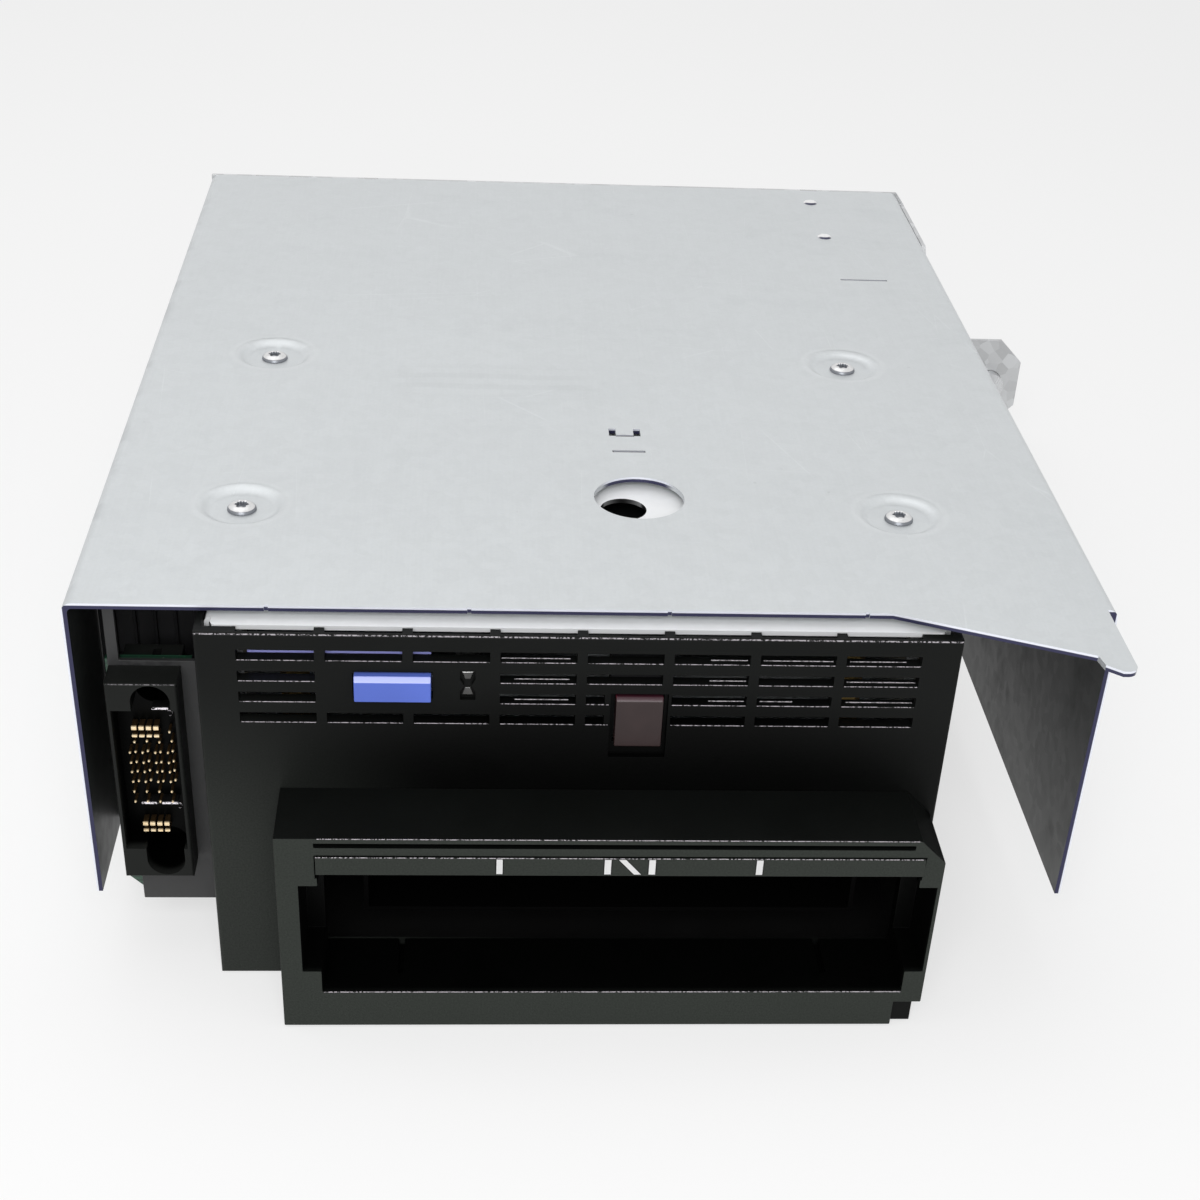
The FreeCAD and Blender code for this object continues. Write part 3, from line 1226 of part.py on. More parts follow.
# ---------------------------------------------------------------- build and write

def build():
    """Make every sub-part, in the order in which the assembly goes together."""
    for step in (deck_casting, loader, supply_clutch, takeup_reel, rollers, head_assembly, leader_grabber,
                 logic_board, drive_covers, bezel, unload_button, display, light_pipes, snout, fiducial_bar,
                 sled_cover, cover_screws, rear_panel, panel_rivets, thumbscrew_and_ferrule, pull_handle,
                 fan_frame, fan_rotor, fan_screws, optical_cage, interface_board, hotplug_housing,
                 hotplug_contacts, plug_carrier):
        step()
    spindle_motor("supply_motor", s.hub_y)
    spindle_motor("takeup_motor", reel_y)
    doc.recompute()


def check():
    """Stop if an object failed, a cut took nothing away, or a sub-part has no sound shape."""
    for item in doc.Objects:
        if "Invalid" in item.State or "Error" in item.State:
            raise RuntimeError("%s failed: %s" % (item.Name, item.State))
        if item.TypeId in ("PartDesign::Pocket", "PartDesign::Groove"):
            before = item.BaseFeature.Shape.Volume
            if item.Shape.Volume > before - 1e-6:
                raise RuntimeError("%s cuts nothing" % item.Name)
    for label, item in parts.items():
        if item.Shape.isNull() or not item.Shape.isValid():
            raise RuntimeError("%s has no sound shape" % label)


def write():
    """Write each sub-part's shape to its own file."""
    os.makedirs("parts", exist_ok=True)
    for label, item in parts.items():
        item.Shape.exportStep("parts/%s.step" % label)
        print("%-22s %2d solids  %10.1f mm3" % (label, len(item.Shape.Solids), item.Shape.Volume))
    print(len(parts), "sub-parts")


build()
check()
write()
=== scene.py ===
# %% [markdown]
# # A data tape drive in its library sled
# A folded zinc cover carries a black drive with a vented front and a deep loading mouth. The
# construction already exists as a frame of separate parts at their real sizes. This lesson dresses
# it: soft edges on every visible part, small fittings modelled from scratch, and a finish for each
# material. Where the frame has a box for a part, the fitting is placed from it; elsewhere places
# are in millimetres of the same frame.

# %% Load the frame
import json
import math
import bmesh
import bpy
from mathutils import Matrix, Vector


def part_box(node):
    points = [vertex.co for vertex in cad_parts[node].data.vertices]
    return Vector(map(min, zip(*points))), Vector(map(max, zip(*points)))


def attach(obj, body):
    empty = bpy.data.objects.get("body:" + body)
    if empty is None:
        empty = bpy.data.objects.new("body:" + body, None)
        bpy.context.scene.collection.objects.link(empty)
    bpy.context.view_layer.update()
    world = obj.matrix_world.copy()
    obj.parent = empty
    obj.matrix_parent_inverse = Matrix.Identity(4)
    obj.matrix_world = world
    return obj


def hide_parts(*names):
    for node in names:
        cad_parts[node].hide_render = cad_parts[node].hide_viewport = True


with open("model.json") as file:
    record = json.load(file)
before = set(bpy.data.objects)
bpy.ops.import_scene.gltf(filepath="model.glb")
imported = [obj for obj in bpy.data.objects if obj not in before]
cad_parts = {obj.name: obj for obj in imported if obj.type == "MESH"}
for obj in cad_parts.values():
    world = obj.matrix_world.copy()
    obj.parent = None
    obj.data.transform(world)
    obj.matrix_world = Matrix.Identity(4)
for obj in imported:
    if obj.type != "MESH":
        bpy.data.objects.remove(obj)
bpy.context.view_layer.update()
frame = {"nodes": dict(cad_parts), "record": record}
mm = 0.001
body_of_node = {node: body for body, nodes in frame["record"]["behaviour"]["bodies"].items()
                for node in nodes}
slot_of_node = {row["node"]: row["material_slot"] for row in frame["record"]["subparts"]}
cover_low, cover_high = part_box("sled_cover")
SCREW_SPOTS = [(x, y) for x in (-69.85, 69.85) for y in (42.5, 121.75)]

# %% [markdown]
# ## The camera
# A product shot of a flat box is taken from above and in front, close enough for the sides to run
# together. The lens is about a 58 mm one. The camera is tilted down, and the frame is also shifted
# down a little, instead of tilting the camera further.

# %% Camera
def aim_camera(place, pan, tilt, roll, lens, shift):
    """A camera at a place, turned by its pan, tilt and roll in degrees."""
    camera = bpy.data.objects.new("camera", bpy.data.cameras.new("camera"))
    turn = (Matrix.Rotation(math.radians(pan), 4, "Z") @ Matrix.Rotation(math.radians(90 + tilt), 4, "X")
            @ Matrix.Rotation(math.radians(roll), 4, "Z"))
    camera.matrix_world = Matrix.Translation(Vector(place) * mm) @ turn
    camera.data.lens = lens
    camera.data.sensor_width = 36.0
    camera.data.shift_y = shift
    camera.data.clip_start = 0.01
    bpy.context.scene.collection.objects.link(camera)
    bpy.context.scene.camera = camera
    return camera


camera = aim_camera((-21.4, -323.8, 276.6), -4.64, -34.65, 3.06, 57.9, 0.1333)
print("camera stands", round(camera.location.length, 3), "m from the origin")

# %% [markdown]
# ## Shader maths as Python
# A finish is a sum of small effects: grain, smudges, cut edges. Wiring each sum by hand hides it in
# a web of nodes. One small class that overloads Python's operators lets the sums be read as sums.

# %% Flow and Finish
class Flow:
    """A number that varies over a surface, read from one socket."""

    def __init__(self, finish, socket):
        self.finish = finish
        self.socket = socket

    def maths(self, operation, *values):
        return self.finish.node("ShaderNodeMath", {"operation": operation}, dict(enumerate(values)))

    def __add__(self, other):
        return self.maths("ADD", self, other)

    def __radd__(self, other):
        return self.maths("ADD", other, self)

    def __sub__(self, other):
        return self.maths("SUBTRACT", self, other)

    def __rsub__(self, other):
        return self.maths("SUBTRACT", other, self)

    def __mul__(self, other):
        return self.maths("MULTIPLY", self, other)

    def __rmul__(self, other):
        return self.maths("MULTIPLY", other, self)

    def __truediv__(self, other):
        return self.maths("DIVIDE", self, other)

    def __gt__(self, other):
        return self.maths("GREATER_THAN", self, other)

    def __lt__(self, other):
        return self.maths("LESS_THAN", self, other)

    def __abs__(self):
        return self.maths("ABSOLUTE", self)

    def most(self, other):
        return self.maths("MAXIMUM", self, other)

    def power(self, other):
        return self.maths("POWER", self, other)

    def rise(self, low, high):
        """0 below low, 1 above high, smooth between."""
        return self.finish.node("ShaderNodeMapRange", {"interpolation_type": "SMOOTHSTEP"},
                                {"Value": self, "From Min": low, "From Max": high})


FINISHES = {}


class Finish:
    """One material: its principled shader and whatever feeds it."""

    def __init__(self, name, **constants):
        self.name = name
        self.material = bpy.data.materials.new(name)
        self.material.use_nodes = True
        self.tree = self.material.node_tree
        self.shader = self.tree.nodes["Principled BSDF"]
        for socket, value in constants.items():
            self.shader.inputs[socket.replace("_", " ")].default_value = value
        self.where = self.node("ShaderNodeTexCoord", output="Object")
        axes = self.node("ShaderNodeSeparateXYZ", inputs={0: self.where}).socket.node
        self.x, self.y, self.z = [Flow(self, axes.outputs[index]) for index in range(3)]

    def node(self, kind, settings=None, inputs=None, output=0):
        """Add any node: its settings first, then the values or links of its sockets."""
        made = self.tree.nodes.new(kind)
        for name, value in (settings or {}).items():
            setattr(made, name, value)
        for name, value in (inputs or {}).items():
            self.feed(made.inputs[name], value)
        return Flow(self, made.outputs[output])

    def feed(self, socket, value):
        """Link a flow into a socket, or set the socket to a plain value."""
        if isinstance(value, Flow):
            self.tree.links.new(value.socket, socket)
        elif isinstance(value, tuple) and len(value) == 3 and socket.type == "RGBA":
            socket.default_value = (*value, 1)
        else:
            socket.default_value = value

    def spread(self, stretch):
        """Object coordinates with each axis scaled, for patterns longer one way."""
        return self.node("ShaderNodeMapping", {"vector_type": "POINT"},
                         {"Vector": self.where, "Scale": stretch})

    def noise(self, size, detail=2.0, stretch=None, harshness=0.5):
        """Noise from 0 to 1 whose blobs are about size across, in metres."""
        place = self.spread(stretch) if stretch else self.where
        return self.node("ShaderNodeTexNoise", None, {
            "Vector": place, "Scale": 1 / size, "Detail": detail, "Roughness": harshness})

    def cells(self, size, feature="F1", output="Distance", stretch=None):
        """Voronoi cells about size across: the distance in each, or its own colour."""
        place = self.spread(stretch) if stretch else self.where
        return self.node("ShaderNodeTexVoronoi", {"feature": feature},
                         {"Vector": place, "Scale": 1 / size}, output)

    def blend(self, share, low, high):
        """A colour between two, by a share from 0 to 1."""
        return self.node("ShaderNodeMix", {"data_type": "RGBA"}, {0: share, 6: low, 7: high}, 2)

    def facing(self):
        """The three parts of the surface's direction in the object's own axes."""
        normal = self.node("ShaderNodeTexCoord", output="Normal")
        axes = self.node("ShaderNodeSeparateXYZ", inputs={0: normal}).socket.node
        return [Flow(self, axes.outputs[index]) for index in range(3)]

    def lean_back(self):
        """1 where a face looks up and forwards at 45 degrees, 0 where it looks up or forwards only."""
        facing_y, facing_z = self.facing()[1:]
        return 0 - facing_y * facing_z * 2

    def crystals(self, size):
        """A random level in each zinc crystal."""
        return self.node("ShaderNodeSeparateColor", inputs={0: self.cells(size, output="Color")})

    def dent(self, height, depth, strength=1.0):
        """Bump the surface by a height field, depth in metres for a height of 1."""
        bump = self.node("ShaderNodeBump", None, {"Height": height, "Distance": depth, "Strength": strength})
        self.feed(self.shader.inputs["Normal"], bump)

    def surface(self, colour, roughness=None, metallic=None):
        """Feed the shader's varying sockets and keep the finish under its name."""
        for name, value in (("Base Color", colour), ("Roughness", roughness), ("Metallic", metallic)):
            if value is not None:
                self.feed(self.shader.inputs[name], value)
        FINISHES[self.name] = self.material
        return self.material


def grey(level, warmth=0.0):
    """A linear grey, a little warm or cool."""
    return (level * (1 + warmth), level, level * (1 - warmth))


def scaled(colour, share):
    """A colour made darker or lighter, never past full."""
    return tuple(min(1.0, level * share) for level in colour)


print("a mid grey, a little warm:", grey(0.5, 0.02))

# %% [markdown]
# ## Sheet metals
# Pre-galvanised sheet is neither mirror nor paint. It has a matte zinc skin with faint crystals,
# long rolling marks and finger smudges; on the cover its cut edges get painted shade with a painted
# highlight along the outer rim, and a drive case gets painted shade on its sides and its floor. The
# hot-dipped sheet of the rear panel has the same zinc in large crystals. A scanned picture would need
# unwrapping and would show its repeats, so one function builds them all from cells and noise, and
# its arguments are what a buyer would specify: tone, crystal size and how much they show.

# %% Sheet metals
def case_shade_mask(metal):
    """1 on a case's sides, its floor and its cut faces behind the front, where shade is painted."""
    facing_x, facing_y, facing_z = metal.facing()
    floor = facing_z.rise(0.5, 0.8) * (metal.z < 60 * mm)
    return (abs(facing_x)).rise(0.6, 0.9).most(floor).most(abs(facing_y) * (metal.y > 5 * mm))


def sheet_metal(name, tone, crystal, contrast, roughness, metallic=0.55, side_shade=False):
    """Zinc-coated sheet, rolled along Y; a case gets painted shade, near black, on its sides and its floor.
    """
    metal = Finish(name, Metallic=metallic)
    crystals = metal.crystals(crystal)
    fine = metal.noise(0.9 * mm, 3.0)
    rolling = metal.noise(0.45 * mm, 2.0, stretch=(1.0, 0.035, 1.0))
    clouds = metal.noise(58 * mm, 3.0, harshness=0.6)
    smudges = metal.noise(17 * mm, 5.0, stretch=(1.0, 0.6, 1.0), harshness=0.65).rise(0.52, 0.72)
    specks = metal.noise(1.7 * mm, 1.0).rise(0.78, 0.83)
    shade = (crystals - 0.5) * contrast + (fine - 0.5) * 0.05 + (rolling - 0.5) * 0.05
    shade = shade + (clouds - 0.5) * 0.10 - smudges * 0.035 - specks * 0.10 + 0.5
    colour = metal.blend(shade, grey(tone * 0.62, -0.012), grey(min(1.0, tone * 1.38), -0.016))
    rough = (crystals - 0.5) * contrast * 0.7 + smudges * 0.10 + (clouds - 0.5) * 0.12 + roughness
    metal.dent(fine * 0.5 + rolling * 0.5 + crystals * contrast, 0.018 * mm, 0.55)
    # Painted shade: near black on the case's sides, its floor and its cut faces behind the front.
    if side_shade:
        colour = metal.blend(case_shade_mask(metal), colour, metal.blend(clouds, grey(0.004), grey(0.012)))
    metal.surface(colour, rough)


sheet_metal("spangled_zinc", 0.56, 3.6 * mm, 0.44, roughness=0.40)
sheet_metal("bright_sheet", 0.80, 2.0 * mm, 0.08, 0.40, 0.25)
# The case's high tone of 1.15 is painted light, so that its front lip, shaded by the cover, reads bright.
sheet_metal("case_sheet", 1.15, 2.0 * mm, 0.06, 0.40, 0.15, side_shade=True)
# The bracket's zinc is nearly black as painted shade, for it lies under the cover.
sheet_metal("bracket_zinc_in_shade", 0.034, 1.2 * mm, 0.35, 0.50, 0.10)
print("sheet metals:", sorted(FINISHES))

# %% [markdown]
# ## The cover's own finish
# The cover is what the eye sees first, and a flat grey there would give the whole model away. Besides
# the zinc's grain it has the marks of use: a washed patch with faint parallel lines, hairline
# scratches in two directions, dirt at the left bend, bare rubbed zinc round each screw and one small
# dimple. Its narrow slots are painted dark as painted shade, its inner faces get painted shade that is
# paler towards the bottom, and its cut edges get painted shade with a painted highlight along the
# outer rim, all drawn in the same way.
# A painted picture could hold them all; masks from object coordinates were chosen because each mark
# can be moved by its own numbers.

# %% Masks on a plate
def patch(finish, centre, half, soft):
    """A soft rectangle on the plate: 1 inside, 0 outside."""
    across = 1 - (abs(finish.x - centre[0])).rise(half[0] - soft, half[0] + soft)
    along = 1 - (abs(finish.y - centre[1])).rise(half[1] - soft, half[1] + soft)
    return across * along


def ring_mask(finish, centre, radius, soft):
    """1 within a radius of a point on the plate, falling to 0 over the soft width."""
    dx = finish.x - centre[0]
    dy = finish.y - centre[1]
    distance = (dx * dx + dy * dy).power(0.5)
    return 1 - distance.rise(radius - soft, radius + soft)


def scratch_mask(zinc):
    """Hairline scratches in two directions, where a broad noise lets them show."""
    hair = zinc.cells(23 * mm, "DISTANCE_TO_EDGE", stretch=(1.0, 0.12, 1.0))
    cross = zinc.cells(31 * mm, "DISTANCE_TO_EDGE", stretch=(0.16, 1.0, 1.0))
    scratches = (1 - hair.rise(0.001, 0.004)).most(1 - cross.rise(0.001, 0.003))
    return scratches * zinc.noise(30 * mm, 2.0).rise(0.52, 0.62)


def washed_mask(zinc):
    """Faint parallel lines where something was stuck and washed off."""
    lines = zinc.node("ShaderNodeTexWave", {"wave_type": "BANDS", "bands_direction": "Y"},
                      {"Vector": zinc.where, "Scale": 1 / (19 * mm), "Distortion": 1.4, "Detail": 2.0})
    return patch(zinc, (-16 * mm, 108 * mm), (22 * mm, 8 * mm), 5 * mm) * lines.rise(0.35, 0.75)


def rubbed_mask(zinc):
    """A ring of bare zinc round each screw."""
    rings = [ring_mask(zinc, (x * mm, y * mm), 10.6 * mm, 0.7 * mm)
             - ring_mask(zinc, (x * mm, y * mm), 8.6 * mm, 1.2 * mm) for x, y in SCREW_SPOTS]
    return sum(rings[1:], rings[0])


SLITS = (((84.7, 180.0), (6.4, 0.40)), ((13.4, 70.5), (3.7, 0.45)), ((13.0, 78.4), (2.1, 0.22)))


def slit_shade_mask(zinc):
    """The narrow slots in the plate, each a centre and a half size, painted dark as painted shade."""
    mask = 0
    for (x, y), (half_x, half_y) in SLITS:
        slit = patch(zinc, (x * mm, y * mm), (half_x * mm, half_y * mm), 0.12 * mm)
        mask = mask.most(slit) if mask else slit
    return mask


def rim_highlight_mask(zinc):
    """1 within half a millimetre of the cover's top, left and right faces, where a cut edge gets its painted
    highlight.
    """
    skin, soft = 0.45 * mm, 0.15 * mm
    above = (zinc.z - cover_high.z + skin + 0.1 * mm).rise(0, soft)
    left = (cover_low.x - zinc.x + skin).rise(0, soft)
    right = (zinc.x - cover_high.x + skin).rise(0, soft)
    return above.most(left).most(right)


print("masks for", len(SCREW_SPOTS), "screws and", len(SLITS), "slits")

# %% Cover finish
def cover_colour(zinc, shade, slits, cut, inner_face_shade):
    """The zinc's colour, with painted shade on its slots and its inside, painted shade and a painted
    highlight on its cut edges, and its feet laid over it.
    """
    # lit: the painted shade on the inner faces grows paler towards the bottom, as painted light.
    lit = 1 - (zinc.z - 18 * mm).rise(0, 44 * mm)
    foot = (0 - zinc.facing()[2]).rise(0.6, 0.9) * (zinc.z < 30 * mm)
    colour = zinc.blend(shade, (0.36, 0.378, 0.388), (0.80, 0.83, 0.845))
    colour = zinc.blend(inner_face_shade, colour, zinc.blend(lit, (0.016, 0.018, 0.017), (0.048, 0.051, 0.048)))
    # The slots are painted shade, a near-black colour on the plate.
    colour = zinc.blend(slits, colour, (0.012, 0.012, 0.020))
    # Cut faces get painted shade in dark blue, and a painted highlight where they meet the outer faces.
    colour = zinc.blend(cut, colour, zinc.blend(rim_highlight_mask(zinc), (0.030, 0.030, 0.075), (0.80, 0.82, 0.90)))
    return zinc.blend(foot, colour, (0.62, 0.64, 0.66))


def cover_zinc():
    """The cover's sheet: pale matte zinc with the marks of handling."""
    zinc = Finish("zinc_sheet", Metallic=0.42)
    crystals = zinc.crystals(2.6 * mm)
    fine = zinc.noise(0.8 * mm, 3.0)
    rolling = zinc.noise(0.5 * mm, 2.0, stretch=(1.0, 0.03, 1.0))
    clouds = zinc.noise(75 * mm, 3.0, harshness=0.6)
    smudge = zinc.noise(22 * mm, 6.0, stretch=(0.8, 1.0, 1.0), harshness=0.68).rise(0.50, 0.74)
    specks = zinc.noise(2.3 * mm, 1.0).rise(0.80, 0.84)
    dirt = (1 - (zinc.x - cover_low.x).rise(0.5 * mm, 3.5 * mm)) * zinc.noise(9 * mm, 4.0).rise(0.5, 0.65)
    dimple = ring_mask(zinc, (-88.2 * mm, 210 * mm), 1.6 * mm, 1.6 * mm)
    scratches = scratch_mask(zinc)
    rubbed = rubbed_mask(zinc)
    facing_x, facing_y = zinc.facing()[:2]
    reach = 95 * mm
    cut = (0 - facing_y).rise(0.55, 0.8)
    # Painted shade on faces turned inwards, below the top.
    inner_face_shade = (0 - facing_x * zinc.x).rise(0.4 * reach, 0.8 * reach) * (zinc.z < cover_high.z - 2 * mm)
    shade = (crystals - 0.5) * 0.05 + (fine - 0.5) * 0.10 + (rolling - 0.5) * 0.06 + (clouds - 0.5) * 0.07
    shade = shade - smudge * 0.03 - specks * 0.14 + scratches * 0.07 - washed_mask(zinc) * 0.055
    shade = shade + rubbed * 0.05 - dirt * 0.16 + 0.5
    rough = (crystals - 0.5) * 0.05 + smudge * 0.09 + (clouds - 0.5) * 0.10 - rubbed * 0.10 + 0.43
    zinc.dent(fine * 0.4 + rolling * 0.5 - scratches * 0.8 - dimple * 9.0, 0.022 * mm, 0.6)
    colour = cover_colour(zinc, shade, slit_shade_mask(zinc), cut, inner_face_shade)
    zinc.surface(colour, rough - cut * 0.06, 0.42 - inner_face_shade * 0.25)


cover_zinc()
print("cover finish has", len(FINISHES["zinc_sheet"].node_tree.nodes), "nodes")

# %% [markdown]
# ## Plastics
# The front is one family of black mouldings. A mould for such a part is spark-eroded, so the skin is
# a fine even grain that breaks the light into points, and its edges shine in thin lines. Sculpting
# such a grain would take millions of faces, so small cells make its height as a bump, and a
# threshold on fine noise paints its points of light into the colour as painted highlights.

# %% A moulded skin
def moulding(name, colour, grain=0.32, depth=0.02, roughness=0.44, painted_sparkle=0.5, dust=0.35,
             specular=0.25, accents=()):
    """A spark-eroded plastic: grain and depth in millimetres, a little dust, then its own accents."""
    plastic = Finish(name, Specular_IOR_Level=specular)
    pits = plastic.cells(grain * mm)
    fine = plastic.noise(grain * mm * 0.8, 2.0)
    drift = plastic.noise(34 * mm, 3.0, harshness=0.6)
    handled = plastic.noise(13 * mm, 4.0, harshness=0.6).rise(0.48, 0.75)
    points = fine.rise(0.66, 0.76)
    settled = plastic.noise(0.5 * mm, 1.0).rise(0.72, 0.80) * plastic.noise(19 * mm, 2.0).rise(0.40, 0.70)
    # points times painted_sparkle is a painted highlight: the grain's points of light laid into the colour.
    tone = (drift - 0.5) * 0.5 + points * painted_sparkle + 0.35
    body = plastic.blend(tone, scaled(colour, 0.55), scaled(colour, 1.7))
    body = plastic.blend(settled * dust, body, tuple(level * 0.5 + 0.05 for level in colour))
    for accent in accents:
        body = accent(plastic, body)
    plastic.dent(pits * 0.7 + fine * 0.6, depth * mm, 0.8)
    plastic.surface(body, (fine - 0.5) * 0.16 + (drift - 0.5) * 0.1 - handled * 0.07 + roughness)


moulding("handle_plastic", (0.016, 0.016, 0.017), 0.7, 0.05, 0.5)
moulding("fan_plastic", (0.013, 0.013, 0.014), 0.2, 0.008, 0.34, 0.2)
moulding("slide_plastic", (0.020, 0.020, 0.021), 0.3, 0.008, 0.4, 0.2)
moulding("tray_black", grey(0.0018), 0.4, 0.01, 0.42, 0.3, 0.02, specular=0.05)
moulding("gear_white", (0.56, 0.55, 0.50), 0.2, 0.005, 0.36, 0.05, 0.05)
moulding("chip_black", (0.012, 0.012, 0.013), 0.15, 0.006, 0.48, 0.35)
moulding("target_white", grey(0.86), 0.1, 0.002, 0.5, 0.02, 0.0)
moulding("target_black", grey(0.0012), 0.1, 0.002, 0.5, 0.02, 0.0)
print("finishes so far:", len(FINISHES))

# %% [markdown]
# ## Painted light and shade on the front
# The front's mouldings differ by where they are lit and looked into, and it is all painted: the
# mouth's front faces, the bezel's lower left, the button's top bevels and its arm get painted light,
# the bezel's middle, the mouth's inside and the plug's cavity get painted shade, and edges get painted
# shine in broken lines. Each of these is an accent, a function that lays one more colour over the body
# of a plastic, so a finish is a list of accents. Painting weights on the meshes would do it too, but it
# would have to be done again after every change of shape.

# %% Accents
def grained(plastic, colour):
    """A colour broken up by fine grain."""
    return plastic.blend(plastic.noise(0.4 * mm, 2.0), scaled(colour, 0.6), scaled(colour, 1.4))


def painted_lip_glints(share):
    """Thin broken lines of painted shine along edges that face up and forwards."""
    def accent(plastic, body):
        glint = plastic.lean_back().rise(0.90, 0.99)
        glint = glint * plastic.noise(0.5 * mm, 2.0, harshness=0.7).rise(0.42, 0.56)
        return plastic.blend(glint * share, body, (0.62, 0.58, 0.62))
    return accent


def painted_bevel_light(colour):
    """A paler colour on every face that leans back, a painted highlight."""
    def accent(plastic, body):
        return plastic.blend(plastic.lean_back().rise(0.45, 0.75), body, colour)
    return accent


def painted_front_light(colour):
    """A paler colour, painted light, on the faces that point forwards."""
    def accent(plastic, body):
        return plastic.blend((0 - plastic.facing()[1]).rise(0.75, 0.95), body, grained(plastic, colour))
    return accent


def painted_corner_light(colour):
    """Painted light towards the lower left of the front."""
    def accent(plastic, body):
        leftward = 1 - (plastic.x + plastic.z * 0.6).rise(-55 * mm, 5 * mm)
        downward = 1 - plastic.z.rise(30 * mm, 82 * mm)
        return plastic.blend(leftward * downward, body, grained(plastic, colour))
    return accent


def shaded_middle(centre, half, colour):
    """Painted shade, darker towards the middle of the front."""
    def accent(plastic, body):
        across = (plastic.x - centre[0]) / half[0]
        upward = (plastic.z - centre[1]) / half[1]
        distance = (across * across + upward * upward).power(0.5)
        return plastic.blend(1 - distance.rise(0.4, 1.1), body, colour)
    return accent


def painted_mouth_shade(colour):
    """Painted shade on the walls inside the mouth."""
    def accent(plastic, body):
        share = plastic.y.rise(-22.9 * mm, -21.5 * mm) * (plastic.z < 45 * mm)
        return plastic.blend(share, body, colour)
    return accent


def deep(start, end, colour):
    """Painted shade, darker with depth behind the front, except on faces that point up."""
    def accent(plastic, body):
        top_faces = plastic.facing()[2].rise(0.7, 0.9) * (plastic.z > 68 * mm)
        return plastic.blend(plastic.y.rise(start, end) * (1 - top_faces), body, colour)
    return accent


def painted_arm_light(colour):
    """A brighter blue, painted light, on the part that lies behind the front."""
    def accent(plastic, body):
        return plastic.blend(plastic.y.rise(-5.8 * mm, -4.0 * mm) * (plastic.z > 74.5 * mm), body, colour)
    return accent


moulding("bezel_black", (0.0064, 0.0070, 0.0066), dust=0.15, specular=0.08, accents=(
    shaded_middle((8 * mm, 52 * mm), (80 * mm, 26 * mm), (0.0008, 0.0009, 0.0008)),
    painted_corner_light((0.026, 0.029, 0.026)), painted_lip_glints(0.65)))
moulding("snout_black", (0.0040, 0.0046, 0.0042), dust=0.15, specular=0.10, accents=(
    painted_front_light((0.027, 0.031, 0.027)), painted_mouth_shade((0.0006, 0.0007, 0.0006)), painted_lip_glints(0.9)))
moulding("connector_black", (0.014, 0.015, 0.014), 0.25, 0.01, 0.38, specular=0.06, accents=(
    deep(0.6 * mm, 3.0 * mm, (0.0004, 0.0005, 0.0004)), painted_lip_glints(0.3)))
moulding("button_blue", (0.100, 0.160, 0.585), 0.26, 0.01, 0.46, 0.10, 0.08, accents=(
    painted_bevel_light((0.44, 0.49, 0.92)), painted_arm_light((0.44, 0.46, 1.0))))
print("finishes so far:", len(FINISHES))

# %% [markdown]
# ## Window and light pipes
# The window over the display is a smoked red acrylic: polished in front and nearly opaque, with a
# painted red highlight along its top edge. The light pipes are clear, and look dark except where a
# bevel catches the light, a painted highlight. Both could be real glass, but nothing can be seen
# through them and transmission doesn't survive an export, so both are a glossy surface over a dark
# colour.

# %% Window and light pipes
def smoked_window():
    """Dark haze with a painted red highlight at the front's top, under a thin coat."""
    low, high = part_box("display_window")
    acrylic = Finish("window_red", Specular_IOR_Level=0.3, Coat_Roughness=0.2)
    # Painted highlight: a red line along the top edge, and a paler red on faces that look up.
    rim = ((acrylic.z - low.z) / (high.z - low.z)).rise(0.955, 0.975)
    flat = acrylic.facing()[2].rise(0.3, 0.7)
    haze = acrylic.noise(5 * mm, 3.0)
    colour = acrylic.blend(haze, (0.016, 0.008, 0.008), (0.031, 0.016, 0.016))
    colour = acrylic.blend(rim, colour, (0.17, 0.018, 0.036))
    colour = acrylic.blend(flat, colour, (0.035, 0.008, 0.014))
    acrylic.feed(acrylic.shader.inputs["Coat Weight"], haze * 0.2 + 0.1)
    acrylic.surface(colour, haze * 0.10 + 0.28)


def clear_pipe():
    """Dark clear plastic whose bevels get a painted highlight."""
    pipe = Finish("light_pipe", Specular_IOR_Level=0.5)
    depth = pipe.noise(1.1 * mm, 2.0)
    colour = pipe.blend(depth, (0.020, 0.020, 0.020), (0.075, 0.075, 0.072))
    # The glint is a painted highlight on faces that lean back.
    glint = pipe.lean_back().rise(0.5, 0.9)
    pipe.surface(pipe.blend(glint, colour, grey(0.85)), depth * 0.2 + 0.12)


smoked_window()
clear_pipe()
print("finishes so far:", len(FINISHES))

# %% [markdown]
# ## Bare metals and boards
# Inside are castings, motor cans, brass standoffs, gilt contacts and green boards. Turned and drawn
# metals carry fine streaks, a casting is pebbled, gilt contacts are darkened behind their tips by
# painted shade, and a board is a pattern of tracks and pads under a glossy mask, with painted shade
# near the cover. Noise stretched along one axis gives a drawn or turned look without unwrapping,
# which anisotropic shading would need.

# %% Bare metals
def bare_metal(name, colour, roughness, grain, stretch, depth=0.008 * mm):
    """Polished metal with streaks of a grain, and stains where it has been touched."""
    metal = Finish(name, Metallic=0.92)
    streaks = metal.noise(grain, 3.0, stretch=stretch)
    stain = metal.noise(9 * mm, 4.0, harshness=0.6).rise(0.42, 0.72)
    shade = metal.blend(streaks, scaled(colour, 0.8), scaled(colour, 1.15))
    shade = metal.blend(stain * 0.25, shade, scaled(colour, 0.45))
    metal.dent(streaks, depth, 0.7)
    metal.surface(shade, (streaks - 0.5) * 0.2 + stain * 0.12 + roughness)


